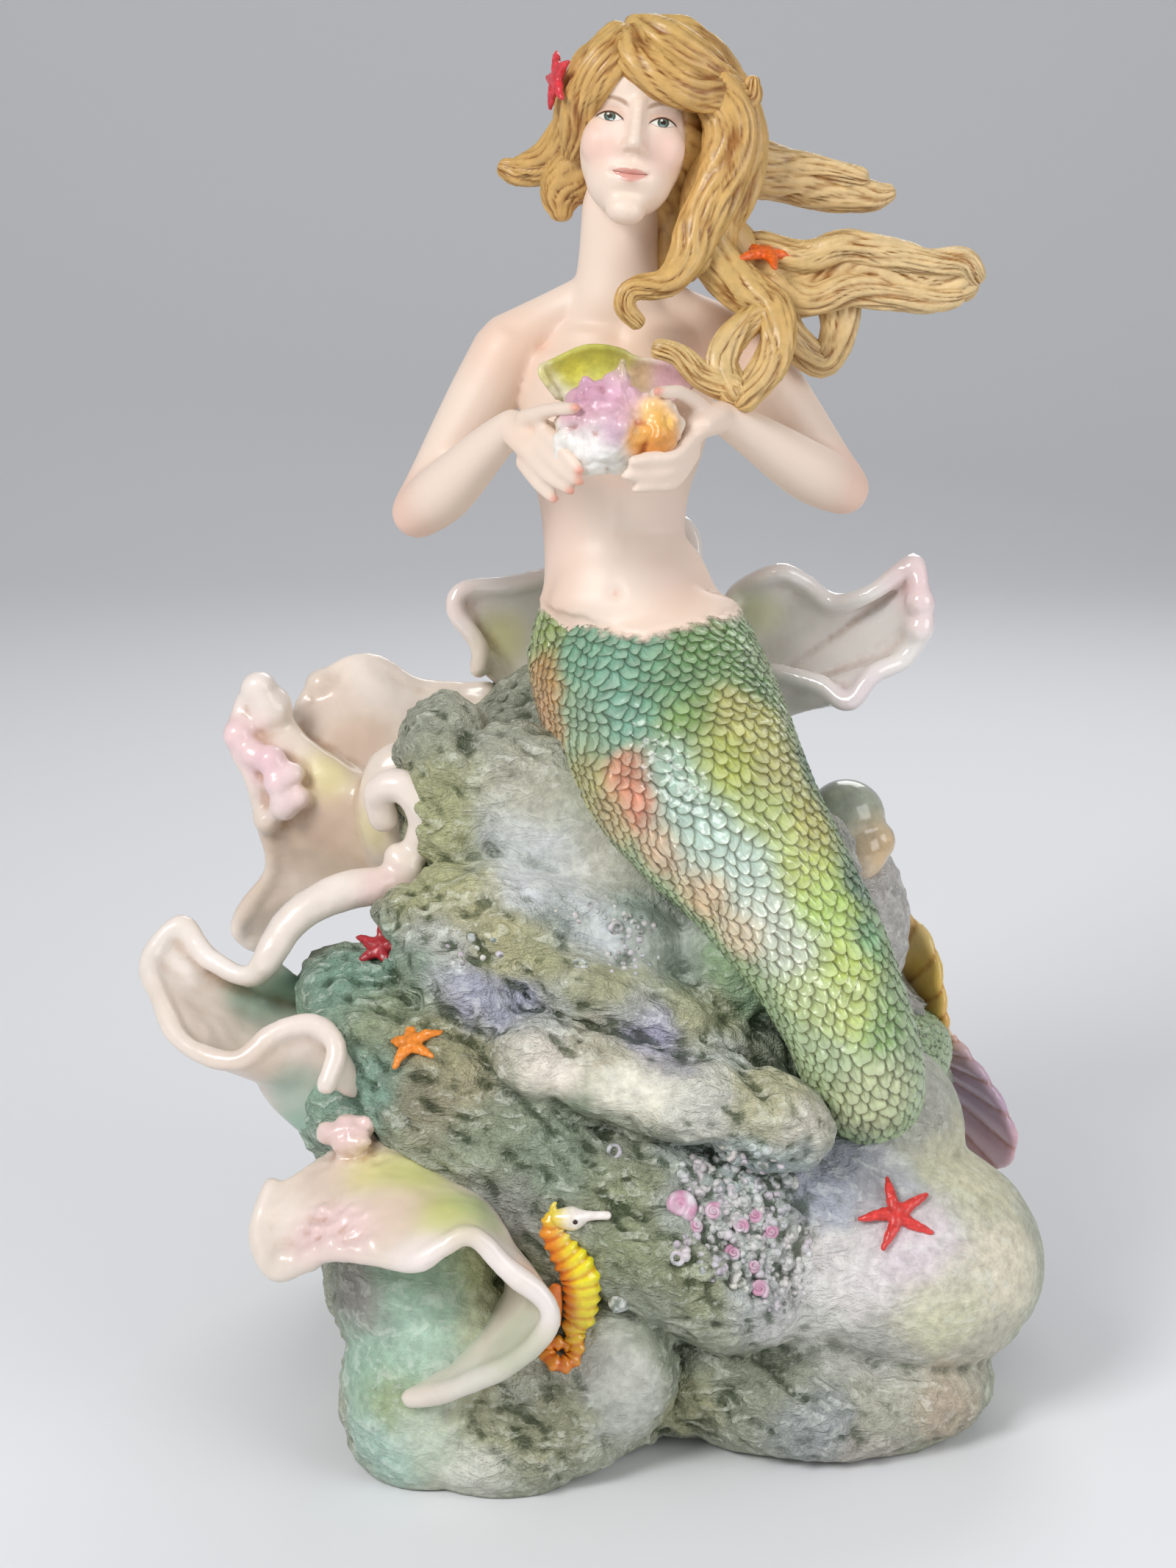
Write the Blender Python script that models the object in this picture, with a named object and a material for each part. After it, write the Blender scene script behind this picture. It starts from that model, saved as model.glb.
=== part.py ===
"""Porcelain mermaid figurine: a mermaid holding a conch, seated on a sea rock with ruffled leaves.

The figure, the rock, the leaves and the small sea creatures were cast in moulds, joined while the clay was
soft and fired as one piece, so they make one solid here. X runs to the figure's left as it faces the
viewer at -Y, Z runs up, and the origin lies on the flat foot of the rock.
"""

import math

import bmesh
import bpy
from mathutils import Euler, Matrix, Vector, noise
from mathutils.bvhtree import BVHTree

MM = 0.001
FRONT = Vector((0.0, -1.0, 0.0))

# Driving dimensions of the figure, in millimetres.
SHOULDER_RADIUS = 11.0
UPPER_ARM_RADIUS = 9.4
ELBOW_RADIUS = 8.6
WRIST_RADIUS = 5.0
FINGER_RADIUS = 2.2
WAIST_HALF_WIDTH = 22.0
WAIST_HALF_DEPTH = 16.0
CHEST_HALF_WIDTH = 28.0
CHEST_HALF_DEPTH = 17.5
HIP_HALF_WIDTH = 36.5
HIP_HALF_DEPTH = 26.0
NECK_RADIUS = 11.8
CRANIUM_HALF = (20.0, 24.0, 22.0)
FACE_HALF = (17.5, 15.0, 21.0)
TAIL_KNEE_RADIUS = 30.0
TAIL_BEND_RADIUS = 17.5
TAIL_END_RADIUS = 7.0
HAIR_THICKNESS = 5.0

# Driving dimensions of the leaves and the small creatures.
LEAF_THICKNESS = 4.0
LEAF_LIP_RADIUS = 3.0
LEAF_KNOB_RADIUS = 6.0
STARFISH_REACH = 11.0
STARFISH_ARM_RADIUS = 1.9
SEAHORSE_RADIUS = 4.6
CONCH_RADIUS = 14.5
FLUKE_THICKNESS = 4.2

# The size of the lumps of the rock, and how far they stand out.
ROCK_LUMP = 26.0
ROCK_ROUGHNESS = 4.6

# How finely the joined clay is skinned.
SKIN_STEP = 1.7
SKIN_SMOOTHING = 3
TRIANGLES = 11550
ROUGH_CUT = 3.0
RING_SIDES = 16
BALL_SIDES = 24
BOULDER_SIDES = 60
SPAN_STEPS = 5
LEAF_STEPS = 7


def smooth_run(rows, steps):
    """Rows of numbers joined by a Catmull-Rom curve, with steps points for each span."""
    ends = [rows[0], *rows, rows[-1]]
    run = []
    for before, here, there, after in zip(ends, ends[1:], ends[2:], ends[3:]):
        for step in range(steps):
            t = step / steps
            run.append(
                tuple(
                    0.5 * (2 * b + (c - a) * t + (2 * a - 5 * b + 4 * c - d) * t**2 + (3 * b - a - 3 * c + d) * t**3)
                    for a, b, c, d in zip(before, here, there, after)
                )
            )
    run.append(tuple(rows[-1]))
    return run


def close_ends(clay, rings):
    """Fills both ends of a run of rings with one face each."""
    clay.faces.new(list(reversed(rings[0])))
    clay.faces.new(rings[-1])


def join_rings(clay, rings):
    for near, far in zip(rings, rings[1:]):
        for k in range(len(near)):
            after = (k + 1) % len(near)
            clay.faces.new((near[k], near[after], far[after], far[k]))


def add_ball(clay, centre, half, turn=(0, 0, 0), sides=BALL_SIDES, roughness=0.0):
    """An ellipsoid of soft clay, turned by degrees about X, Y and Z, with lumps as high as roughness."""
    angles = Euler([math.radians(a) for a in turn])
    place = Matrix.Translation(Vector(centre)) @ angles.to_matrix().to_4x4() @ Matrix.Diagonal((*half, 1.0))
    rows = sides * 2 // 3
    rings = []
    for row in range(rows):
        polar = math.pi * (row + 0.5) / rows
        ring = []
        for side in range(sides):
            angle = math.tau * side / sides
            point = place @ Vector(
                (math.sin(polar) * math.cos(angle), math.sin(polar) * math.sin(angle), math.cos(polar))
            )
            outward = (point - Vector(centre)).normalized()
            lump = noise.noise(point / ROCK_LUMP) + 0.6 * noise.noise(point / (ROCK_LUMP * 0.45))
            ring.append(clay.verts.new(point + outward * lump * roughness))
        rings.append(ring)
    join_rings(clay, rings)
    close_ends(clay, rings)


def add_roll(clay, rows, facing=FRONT, steps=SPAN_STEPS):
    """A roll of clay through rows of (x, y, z, half width, half depth), with round ends.

    The depth of its oval section looks along facing at its first end and turns with the roll after that.
    """
    run = smooth_run([tuple(row) if len(row) == 5 else (*row, row[3]) for row in rows], steps)
    points = [Vector(row[:3]) for row in run]
    depth_way = Vector(facing)
    rings = []
    for k, (point, row) in enumerate(zip(points, run)):
        along = (points[min(k + 1, len(points) - 1)] - points[max(k - 1, 0)]).normalized()
        depth_way = (depth_way - along * depth_way.dot(along)).normalized()
        width_way = along.cross(depth_way)
        shares = (0.0,)
        if k == 0:
            shares = (-0.8, -0.45, 0.0)
        if k == len(points) - 1:
            shares = (0.0, 0.45, 0.8)
        for share in shares:
            shrink = math.sqrt(1.0 - share * share)
            middle = point + along * share * min(row[3], row[4])
            ring = []
            for side in range(RING_SIDES):
                angle = math.tau * side / RING_SIDES
                offset = width_way * row[3] * math.cos(angle) + depth_way * row[4] * math.sin(angle)
                ring.append(clay.verts.new(middle + offset * shrink))
            rings.append(ring)
    join_rings(clay, rings)
    close_ends(clay, rings)


def add_leaf(clay, stations, lip=LEAF_LIP_RADIUS, thickness=LEAF_THICKNESS):
    """A ruffled leaf: each station is (rim, throat, root), and the rim is rolled into a thicker lip."""
    flat = smooth_run([rim + throat + root for rim, throat, root in stations], SPAN_STEPS)
    grid = []
    for row in flat:
        rim, throat, root = Vector(row[0:3]), Vector(row[3:6]), Vector(row[6:9])
        ribs = []
        for step in range(LEAF_STEPS + 1):
            t = step / LEAF_STEPS
            ribs.append(rim * (1 - t) ** 2 + throat * 2 * t * (1 - t) + root * t * t)
        grid.append(ribs)
    last_row, last_rib = len(grid) - 1, LEAF_STEPS
    sides = ([], [])
    for i in range(last_row + 1):
        for side in sides:
            side.append([])
        for j in range(last_rib + 1):
            across = grid[min(i + 1, last_row)][j] - grid[max(i - 1, 0)][j]
            down = grid[i][min(j + 1, last_rib)] - grid[i][max(j - 1, 0)]
            half = across.cross(down).normalized() * thickness / 2
            sides[0][i].append(clay.verts.new(grid[i][j] + half))
            sides[1][i].append(clay.verts.new(grid[i][j] - half))
    front, back = sides
    for i in range(last_row):
        for j in range(last_rib):
            clay.faces.new((front[i][j], front[i + 1][j], front[i + 1][j + 1], front[i][j + 1]))
            clay.faces.new((back[i][j], back[i][j + 1], back[i + 1][j + 1], back[i + 1][j]))
        clay.faces.new((front[i][0], back[i][0], back[i + 1][0], front[i + 1][0]))
        clay.faces.new((front[i][last_rib], front[i + 1][last_rib], back[i + 1][last_rib], back[i][last_rib]))
    for j in range(last_rib):
        clay.faces.new((front[0][j], front[0][j + 1], back[0][j + 1], back[0][j]))
        clay.faces.new((front[last_row][j], back[last_row][j], back[last_row][j + 1], front[last_row][j + 1]))
    add_roll(clay, [(*row[0:3], lip) for row in flat], facing=(0.1, 0.2, 1.0), steps=1)


def add_rock(clay):
    """The rock: boulders pressed together. Each is its centre, half sizes, turn and share of the roughness."""
    boulders = (
        # The core, from the foot to behind the figure's seat.
        ((16, 8, 40), (90, 84, 52), (0, 0, 0), 0.6),
        ((2, 22, 100), (74, 62, 62), (0, 0, 0), 0.6),
        ((-4, 26, 168), (50, 44, 58), (0, 0, 0), 0.6),
        ((8, -14, 158), (50, 34, 42), (0, 12, 0), 1.0),
        ((8, -38, 112), (66, 42, 42), (0, 8, 0), 1.0),
        ((14, -60, 74), (70, 42, 36), (0, 8, 0), 1.0),
        ((60, -44, 60), (60, 46, 42), (0, 10, 0), 0.5),
        # The smooth slab under the tail, and the mossy ridge beside it.
        ((0, -26, 182), (48, 18, 24), (0, 36, 0), 0.2),
        ((-42, -14, 190), (18, 24, 36), (0, -8, 0), 0.8),
        # The ledge under the slab, the long cream ledge across the front, and the rock behind the tail.
        ((-12, -40, 150), (54, 28, 24), (0, 12, 0), 1.2),
        ((-36, -52, 140), (26, 22, 17), (0, 30, -10), 1.0),
        ((10, -56, 140), (34, 24, 15), (0, 20, 0), 1.0),
        ((20, -64, 114), (54, 26, 17), (0, 14, 0), 1.0),
        ((-14, -76, 127), (16, 15, 12), (0, 0, 0), 0.5),
        ((8, -80, 122), (22, 16, 12), (0, 10, 0), 0.5),
        ((30, -82, 116), (23, 17, 13), (0, 14, 0), 0.5),
        ((52, -80, 108), (22, 17, 15), (0, 14, 0), 0.5),
        ((46, -42, 146), (21, 22, 28), (0, 15, 0), 0.6),
        ((60, -16, 146), (27, 34, 44), (0, 10, 0), 0.6),
        # The slope that runs down from the left to the front.
        ((-40, -58, 106), (64, 32, 30), (0, 32, -26), 0.8),
        ((-68, -58, 108), (20, 20, 26), (0, 20, 0), 0.4),
        ((24, -84, 66), (46, 24, 22), (0, 30, 0), 0.8),
        # The smooth boulder on the right, and the lobes of the foot.
        ((96, -46, 52), (49, 46, 38), (0, 14, 0), 0.2),
        ((86, -32, 80), (34, 36, 38), (0, 20, 0), 0.2),
        ((74, -52, 14), (56, 46, 24), (0, 0, 0), 0.8),
        ((-22, -68, 22), (50, 46, 34), (0, 0, 0), 0.8),
        ((36, -64, 24), (38, 24, 26), (0, 0, 0), 0.6),
        ((8, -92, 33), (19, 17, 24), (0, 0, 0), 0.2),
        ((-27, -92, 14), (31, 23, 26), (0, 0, 0), 0.6),
        ((-46, -88, 26), (29, 27, 38), (0, 8, 0), 0.1),
        ((-52, -80, 58), (25, 26, 34), (0, 10, 0), 0.1),
        ((-60, -50, 50), (22, 32, 48), (0, -6, 0), 1.0),
        # The back and the right side, plainly rounded.
        ((84, 14, 132), (22, 24, 38), (0, 8, 0), 0.3),
        ((80, 24, 86), (44, 42, 46), (0, 0, 0), 1.0),
        ((-44, 46, 58), (48, 44, 62), (0, 0, 0), 1.0),
        ((36, 58, 54), (60, 40, 58), (0, 0, 0), 1.0),
        ((-14, 46, 118), (58, 44, 50), (0, 0, 0), 1.0),
        ((34, 44, 122), (50, 40, 56), (0, 0, 0), 1.0),
    )
    for centre, half, turn, share in boulders:
        add_ball(clay, centre, half, turn, BOULDER_SIDES, ROCK_ROUGHNESS * share)


def add_torso(clay):
    add_roll(
        clay,
        [
            (15, 4, 236, HIP_HALF_WIDTH - 4, HIP_HALF_DEPTH - 3),
            (11, 4, 253, 29, 20),
            (8, 5, 270, WAIST_HALF_WIDTH, WAIST_HALF_DEPTH),
            (8, 3, 283, 24, 16),
            (8, 1, 298, CHEST_HALF_WIDTH, CHEST_HALF_DEPTH),
            (9, 1, 314, CHEST_HALF_WIDTH + 2.5, CHEST_HALF_DEPTH),
            (11, 3, 327, CHEST_HALF_WIDTH + 1, 16),
            (10, 5, 338, 22, 12.5),
            (9, 4, 347, NECK_RADIUS + 3, NECK_RADIUS + 1),
            (8.5, 3, 358, NECK_RADIUS, NECK_RADIUS),
            (9.5, 1, 374, NECK_RADIUS, NECK_RADIUS + 0.5),
        ],
    )
    for side_x in (-24, 47):
        add_roll(clay, [(9, 5, 348, 9), (0.5 * (side_x + 9), 6, 340, 9), (side_x, 6, 330, SHOULDER_RADIUS)])
    for breast_x in (-5, 23):
        add_ball(clay, (breast_x, -11, 307), (12, 10, 12))


def add_arm(clay, shoulder, elbow, wrist):
    shoulder, elbow, wrist = Vector(shoulder), Vector(elbow), Vector(wrist)
    upper = shoulder.lerp(elbow, 0.5)
    swell = elbow.lerp(wrist, 0.35) + Vector((0, -1.5, -1))
    add_roll(clay, [(*shoulder, SHOULDER_RADIUS), (*upper, UPPER_ARM_RADIUS), (*elbow, ELBOW_RADIUS)])
    add_roll(clay, [(*elbow, ELBOW_RADIUS), (*swell, ELBOW_RADIUS), (*wrist, WRIST_RADIUS)])


def add_fingers(clay, fingers):
    """Each finger is its knuckle, middle joint and tip."""
    for knuckle, joint, tip in fingers:
        add_roll(clay, [(*knuckle, FINGER_RADIUS + 0.6), (*joint, FINGER_RADIUS + 0.2), (*tip, FINGER_RADIUS)])


def add_arms(clay):
    right_wrist, left_wrist = (-23, -32, 310), (40, -34, 313)
    add_arm(clay, (-25, 5, 329), (-53.5, 2, 279.5), right_wrist)
    add_arm(clay, (48, 5, 330), (80, 2, 287), left_wrist)
    add_roll(clay, [(*right_wrist, WRIST_RADIUS), (-16, -41, 307, 8, 4.4)], facing=(0.3, -1, 0.2))
    add_roll(clay, [(*left_wrist, WRIST_RADIUS), (32, -42, 312, 5, 8)], facing=(-0.3, -1, 0))
    add_fingers(
        clay,
        [
            ((-19, -40, 313), (-11, -50, 315), (-4, -60, 317)),
            ((-13, -45, 309), (-8, -54, 305), (-2, -60, 300)),
            ((-16, -44, 306), (-10, -54, 301), (-3, -58, 296)),
            ((-18, -42, 303), (-12, -51, 298), (-6, -55, 294)),
            ((-19, -39, 300), (-15, -46, 295), (-11, -50, 291)),
            ((33, -42, 317), (27, -50, 321), (20, -56, 322)),
            ((32, -44, 309), (26, -54, 303), (12, -62, 303)),
            ((31, -42, 306), (24, -54, 297), (7, -60, 298)),
        ],
    )


def add_conch(clay):
    """The knobbed conch in the hands, with its flared lip behind."""
    add_ball(clay, (6, -50, 311), (CONCH_RADIUS, CONCH_RADIUS - 2, CONCH_RADIUS - 1))
    add_ball(clay, (18, -50, 311), (CONCH_RADIUS - 5.5, CONCH_RADIUS - 5, CONCH_RADIUS - 5.5))
    for foot, tip, radius in (
        ((9, -52, 318), (10, -54, 328), 5.0),
        ((0, -50, 316), (-2, -52, 323), 4.6),
    ):
        add_roll(clay, [(*foot, radius), (*tip, radius * 0.4)])
    add_leaf(
        clay,
        [
            ((-9, -36, 319), (-6, -38, 316), (0, -44, 312)),
            ((-14, -37, 327), (-9, -38, 320), (0, -44, 315)),
            ((-9, -34, 332), (-5, -37, 324), (3, -44, 318)),
            ((4, -33, 335), (5, -37, 326), (7, -44, 319)),
            ((13, -32, 331), (12, -36, 324), (11, -44, 318)),
            ((24, -30, 328), (20, -36, 321), (15, -44, 316)),
            ((33, -28, 322), (26, -35, 317), (17, -44, 312)),
        ],
        lip=1.5,
        thickness=2.6,
    )


def add_head(clay):
    add_ball(clay, (17, 5, 404), CRANIUM_HALF, (0, 6, 0))
    add_ball(clay, (14, -8, 389), FACE_HALF, (0, 6, 0))
    add_ball(clay, (11.5, -15, 374), (6.5, 6, 6))
    add_roll(clay, [(15, -21, 395, 1.8), (14, -25.5, 385, 3.0, 2.2)])


def add_hair(clay):
    """The hair: a cap over the head, and the locks, which the wind carries to the figure's left."""
    add_ball(clay, (20, 9, 405), (25, 25, 25), (0, 8, 0))
    add_ball(clay, (37, 8, 392), (16, 16, 17), (0, 0, 0))
    add_ball(clay, (27, 9, 368), (13, 10, 22), (0, -8, 0))
    thin = HAIR_THICKNESS
    locks = (
        # Beside the face on the figure's right, and the wisps behind it.
        ((13, -15, 422, 7, thin), (4, -17, 415, 7, thin), (-3, -13, 403, 7, thin), (-5, -8, 391, 7, thin), (-8, 0, 380, 7, thin)),
        ((-4, 2, 394, 8, thin), (-12, 8, 387, 6, thin), (-21, 12, 384, 4.5, thin)),
        ((-2, 4, 386, 8, 6), (-7, 6, 377, 8, 6), (-9, 6, 373, 6, thin)),
        # Over the forehead, ending in an upturned curl.
        ((14, -12, 425, 7, thin), (16, -19, 415, 7, thin), (25, -19, 410, 7, thin), (36, -13, 408, 7, thin), (46, -5, 408, 5, thin)),
        # Down beside the face to the pointed curl on the neck.
        ((40, -8, 404, 8, 6), (43, -10, 391, 8, 6), (39, -13, 379, 7.5, 6), (33, -17, 368, 7, 5), (29, -20, 358, 5.5, 4), (23, -24, 351, 4, 3.4), (13, -26, 350, 3.2, 3), (11, -26, 345, 2.8, 2.6), (15, -25, 340, 2, 2)),
        # Over the shoulder to the chest, with a ring and a small curl at its end.
        ((40, -4, 384, 10, 8), (37, -9, 370, 9, 7), (38, -12, 359, 7, 6), (46, -14, 350, 7, 5), (55, -18, 345, 6, 4.5), (56, -24, 337, 5, 4), (54, -28, 328, 5, 4), (46, -33, 318, 4.5, 3.8)),
        ((54, -18, 343, 4, 3.5), (46, -24, 338, 4, 3.5), (40, -29, 329, 5, 3.5), (44, -33, 320, 5, 3.8)),
        ((42, -33, 322, 4, 3.4), (34, -32, 325, 3.6, 3.2), (27, -31, 331, 3, 3), (21, -31, 332, 3.2, 3)),
        # The two flying locks, and the loop under the lower one.
        ((40, 6, 386, 10, 8), (58, 10, 383, 7.5, 6), (73, 10, 379, 6, thin), (87, 9, 376.5, 5, thin)),
        ((36, 0, 374, 8, 7), (48, -3, 356, 8, 6), (62, -4, 350, 9, thin), (75, -4, 354, 11, thin), (86, -4, 354, 10, thin), (98, -5, 352, 8, thin), (107, -5, 352, 7, thin), (115, -5, 353, 7.5, thin)),
        ((56, -6, 348, 7, thin), (61, -6, 336, 5, 4), (72, -5, 327, 4.5, 4), (77, -5, 336, 5, 4), (77, -4, 348, 7, 4)),
    )
    for lock in locks:
        add_roll(clay, lock)


def add_tail(clay):
    """The scaled tail: over the front of the rock, then back under the bend and round to the flukes."""
    add_roll(
        clay,
        [
            (12, 5, 250, HIP_HALF_WIDTH - 7, HIP_HALF_DEPTH - 6),
            (16, 1, 237, HIP_HALF_WIDTH, HIP_HALF_DEPTH),
            (22, -17, 222, HIP_HALF_WIDTH, HIP_HALF_DEPTH),
            (31, -34, 207, HIP_HALF_WIDTH - 2, HIP_HALF_DEPTH),
            (42, -48, 192, TAIL_KNEE_RADIUS, TAIL_KNEE_RADIUS - 5),
            (56, -58, 174, TAIL_KNEE_RADIUS - 5, TAIL_KNEE_RADIUS - 7),
            (69, -64, 154, TAIL_KNEE_RADIUS - 8, TAIL_KNEE_RADIUS - 9),
            (78, -66, 135, TAIL_BEND_RADIUS + 2, TAIL_BEND_RADIUS + 2),
            (84, -62, 117, TAIL_BEND_RADIUS + 1, TAIL_BEND_RADIUS + 1),
            (87, -48, 104, TAIL_BEND_RADIUS, TAIL_BEND_RADIUS),
            (92, -26, 98, TAIL_BEND_RADIUS - 1, TAIL_BEND_RADIUS - 1),
            (104, 0, 98, TAIL_BEND_RADIUS - 3, TAIL_BEND_RADIUS - 3),
            (110, 22, 96, TAIL_BEND_RADIUS - 5, TAIL_BEND_RADIUS - 5),
            (112, 44, 92, TAIL_END_RADIUS + 2, TAIL_END_RADIUS + 2),
            (114, 58, 86, TAIL_END_RADIUS, TAIL_END_RADIUS),
        ],
    )


def add_flukes(clay):
    """The two lobes of the tail fin, open to the right behind the boulder."""
    add_leaf(
        clay,
        [
            ((108, 34, 138), (104, 46, 112), (112, 52, 88)),
            ((116, 26, 128), (108, 42, 108), (112, 52, 88)),
            ((120, 20, 104), (112, 38, 98), (113, 54, 87)),
            ((122, 34, 96), (116, 44, 92), (114, 56, 86)),
        ],
        lip=2.2,
        thickness=FLUKE_THICKNESS,
    )
    add_leaf(
        clay,
        [
            ((126, 40, 92), (120, 46, 90), (113, 54, 88)),
            ((140, 34, 74), (128, 46, 80), (113, 56, 86)),
            ((147, 34, 56), (132, 50, 70), (113, 60, 84)),
            ((142, 48, 42), (128, 58, 62), (112, 62, 82)),
            ((124, 62, 44), (118, 66, 60), (110, 62, 80)),
        ],
        lip=2.2,
        thickness=FLUKE_THICKNESS,
    )


def add_leaves(clay):
    """The ruffled leaves that grow from the rock."""
    upper_left = [
        ((-34, 34, 216), (-34, 30, 210), (-28, 20, 203)),
        ((-54, 36, 216), (-52, 24, 206), (-36, 16, 196)),
        ((-75, 33, 226), (-68, 18, 206), (-44, 8, 192)),
        ((-93, 28, 214), (-78, 10, 202), (-48, 0, 190)),
        ((-96, 18, 203), (-82, 4, 198), (-50, -4, 186)),
        ((-106, 10, 223), (-94, 2, 198), (-52, -8, 182)),
        ((-113, 4, 208), (-94, 0, 190), (-54, -10, 178)),
        ((-107, -2, 192), (-88, 0, 182), (-54, -12, 172)),
        ((-104, 2, 177), (-88, 2, 172), (-54, -14, 166)),
        ((-103, 8, 161), (-90, 6, 160), (-54, -12, 162)),
        ((-116, 16, 140), (-96, 14, 149), (-54, -4, 158)),
        ((-110, 20, 132), (-92, 18, 146), (-52, 4, 156)),
    ]
    middle_left = [
        ((-98, -47, 150), (-92, -34, 134), (-62, -28, 128)),
        ((-104, -47, 142), (-94, -30, 130), (-60, -26, 126)),
        ((-117, -42, 146), (-99, -28, 126), (-58, -26, 122)),
        ((-127, -38, 156), (-104, -30, 124), (-58, -30, 118)),
        ((-136, -45, 146), (-106, -38, 120), (-58, -36, 114)),
        ((-130, -60, 138), (-102, -48, 116), (-58, -44, 110)),
        ((-121, -73, 129), (-98, -56, 110), (-58, -50, 106)),
        ((-105, -80, 126), (-90, -62, 108), (-56, -56, 104)),
        ((-95, -77, 133), (-84, -64, 108), (-54, -60, 102)),
        ((-83, -75, 136), (-76, -66, 110), (-52, -62, 102)),
        ((-75, -78, 130), (-68, -68, 110), (-50, -62, 102)),
        ((-78, -84, 120), (-68, -72, 108), (-50, -64, 102)),
    ]
    lower_left = [
        ((-94, -90, 90), (-82, -82, 96), (-66, -66, 98)),
        ((-97, -100, 79), (-82, -92, 95), (-62, -68, 102)),
        ((-91, -110, 72), (-77, -98, 96), (-60, -70, 102)),
        ((-84, -112, 75), (-72, -102, 96), (-56, -74, 100)),
        ((-75, -114, 80), (-66, -106, 97), (-52, -76, 98)),
        ((-60, -120, 81), (-56, -110, 98), (-48, -78, 94)),
        ((-49, -126, 82), (-48, -114, 98), (-42, -82, 90)),
        ((-41, -127, 87), (-40, -112, 98), (-36, -84, 86)),
        ((-33, -126, 90), (-32, -110, 94), (-30, -86, 82)),
        ((-23, -127, 80), (-24, -110, 84), (-26, -88, 74)),
        ((-12, -128, 71), (-18, -110, 74), (-24, -90, 66)),
        ((-11, -129, 63), (-18, -110, 64), (-24, -92, 58)),
        ((-21, -127, 52), (-26, -110, 54), (-30, -94, 50)),
        ((-38, -122, 41), (-38, -108, 44), (-38, -92, 44)),
        ((-52, -114, 34), (-48, -104, 38), (-44, -90, 40)),
    ]
    rear_left = [
        ((-36, 28, 224), (-30, 36, 218), (-20, 34, 206)),
        ((-36, 30, 232), (-30, 38, 224), (-20, 34, 206)),
        ((-44, 32, 243), (-34, 40, 228), (-20, 36, 206)),
        ((-40, 34, 250), (-30, 42, 230), (-16, 38, 206)),
        ((-24, 36, 251), (-20, 46, 232), (-8, 42, 206)),
        ((-4, 42, 256), (-4, 50, 234), (2, 44, 206)),
        ((16, 46, 264), (12, 52, 236), (10, 44, 206)),
        ((30, 44, 270), (22, 52, 238), (16, 42, 206)),
        ((35, 42, 263), (28, 50, 236), (20, 40, 206)),
        ((34, 40, 254), (30, 48, 232), (22, 38, 206)),
    ]
    rear_right = [
        ((36, 40, 236), (34, 44, 226), (24, 36, 200)),
        ((45, 34, 242), (42, 44, 232), (30, 36, 204)),
        ((50, 32, 250), (46, 42, 236), (32, 34, 206)),
        ((57, 26, 255), (52, 42, 238), (34, 34, 206)),
        ((64, 24, 257), (58, 42, 238), (36, 32, 206)),
        ((71, 26, 253), (62, 42, 236), (38, 32, 206)),
        ((80, 24, 247), (70, 42, 234), (38, 30, 206)),
        ((91, 18, 251), (78, 40, 234), (40, 30, 206)),
        ((105, 20, 260), (84, 40, 234), (40, 30, 204)),
        ((107, 14, 250), (84, 36, 230), (40, 30, 202)),
        ((108, 14, 240), (84, 34, 226), (40, 28, 200)),
        ((102, 14, 230), (80, 32, 222), (40, 28, 198)),
        ((92, 10, 226), (74, 32, 220), (40, 26, 196)),
        ((84, 8, 217), (68, 28, 216), (40, 24, 194)),
        ((75, 14, 222), (62, 28, 216), (38, 24, 192)),
        ((60, 20, 225), (52, 26, 212), (34, 24, 190)),
    ]
    for stations in (upper_left, middle_left, lower_left, rear_left, rear_right):
        add_leaf(clay, stations)
    for knob in ((-106, 8, 222), (-112, 2, 207), (-101, -6, 199), (-97, -8, 189), (-103, -3, 180), (-88, 30, 218)):
        add_ball(clay, knob, [LEAF_KNOB_RADIUS] * 3)
    for knob in ((-72, -80, 106), (-88, -110, 75), (-74, -113, 81), (-62, -117, 83), (105, 20, 259), (107, 14, 249)):
        add_ball(clay, knob, [LEAF_KNOB_RADIUS - 1.5] * 3)
    add_roll(clay, [(-66, -24, 196, 4.5), (-66, -27, 205, 4.5), (-57, -30, 207, 5), (-52, -30, 197, 5), (-54, -26, 185, 4.5)])
    add_roll(clay, [(-64, -28, 168, 4.5), (-59, -31, 176, 5), (-54, -30, 168, 5)])
    add_roll(clay, [(-50, -26, 160, 5), (-62, -32, 169, 4.5), (-80, -38, 167, 4.5), (-93, -43, 160, 4.5), (-99, -47, 147, 4)])


def add_side_growths(clay):
    """The cupped leaf tip and the pale stone behind the tail, on the figure's left."""
    add_ball(clay, (85, 8, 179), (13, 12, 13), (0, 30, 0))
    add_ball(clay, (91, 3, 168), (8, 8, 10), (0, 20, 0))


def add_seahorse(clay, surface):
    """A seahorse pressed to the front of the rock, head up and tail curled."""
    wide, front = SEAHORSE_RADIUS, -112
    body = (
        (-11, front, 90, wide * 0.55),
        (-12, front, 83, wide * 0.7),
        (-7, front, 75, wide * 0.95),
        (-5, front, 66, wide),
        (-8, front, 58, wide * 0.7),
        (-12, front, 51, wide * 0.5),
        (-11, front, 45, wide * 0.45),
        (-6, front, 44, wide * 0.42),
        (-4, front, 49, wide * 0.4),
        (-7, front, 51, wide * 0.35),
    )
    rows = [(x, surface(x, z, wide), z, radius) for x, y, z, radius in body]
    add_roll(clay, rows)
    head_y = rows[0][1]
    add_ball(clay, (-8, head_y, 91), (wide * 0.9, wide * 0.7, wide * 0.7))
    add_roll(clay, [(-6, head_y, 91, wide * 0.45), (4, head_y - 1, 92, wide * 0.3)])


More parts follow.
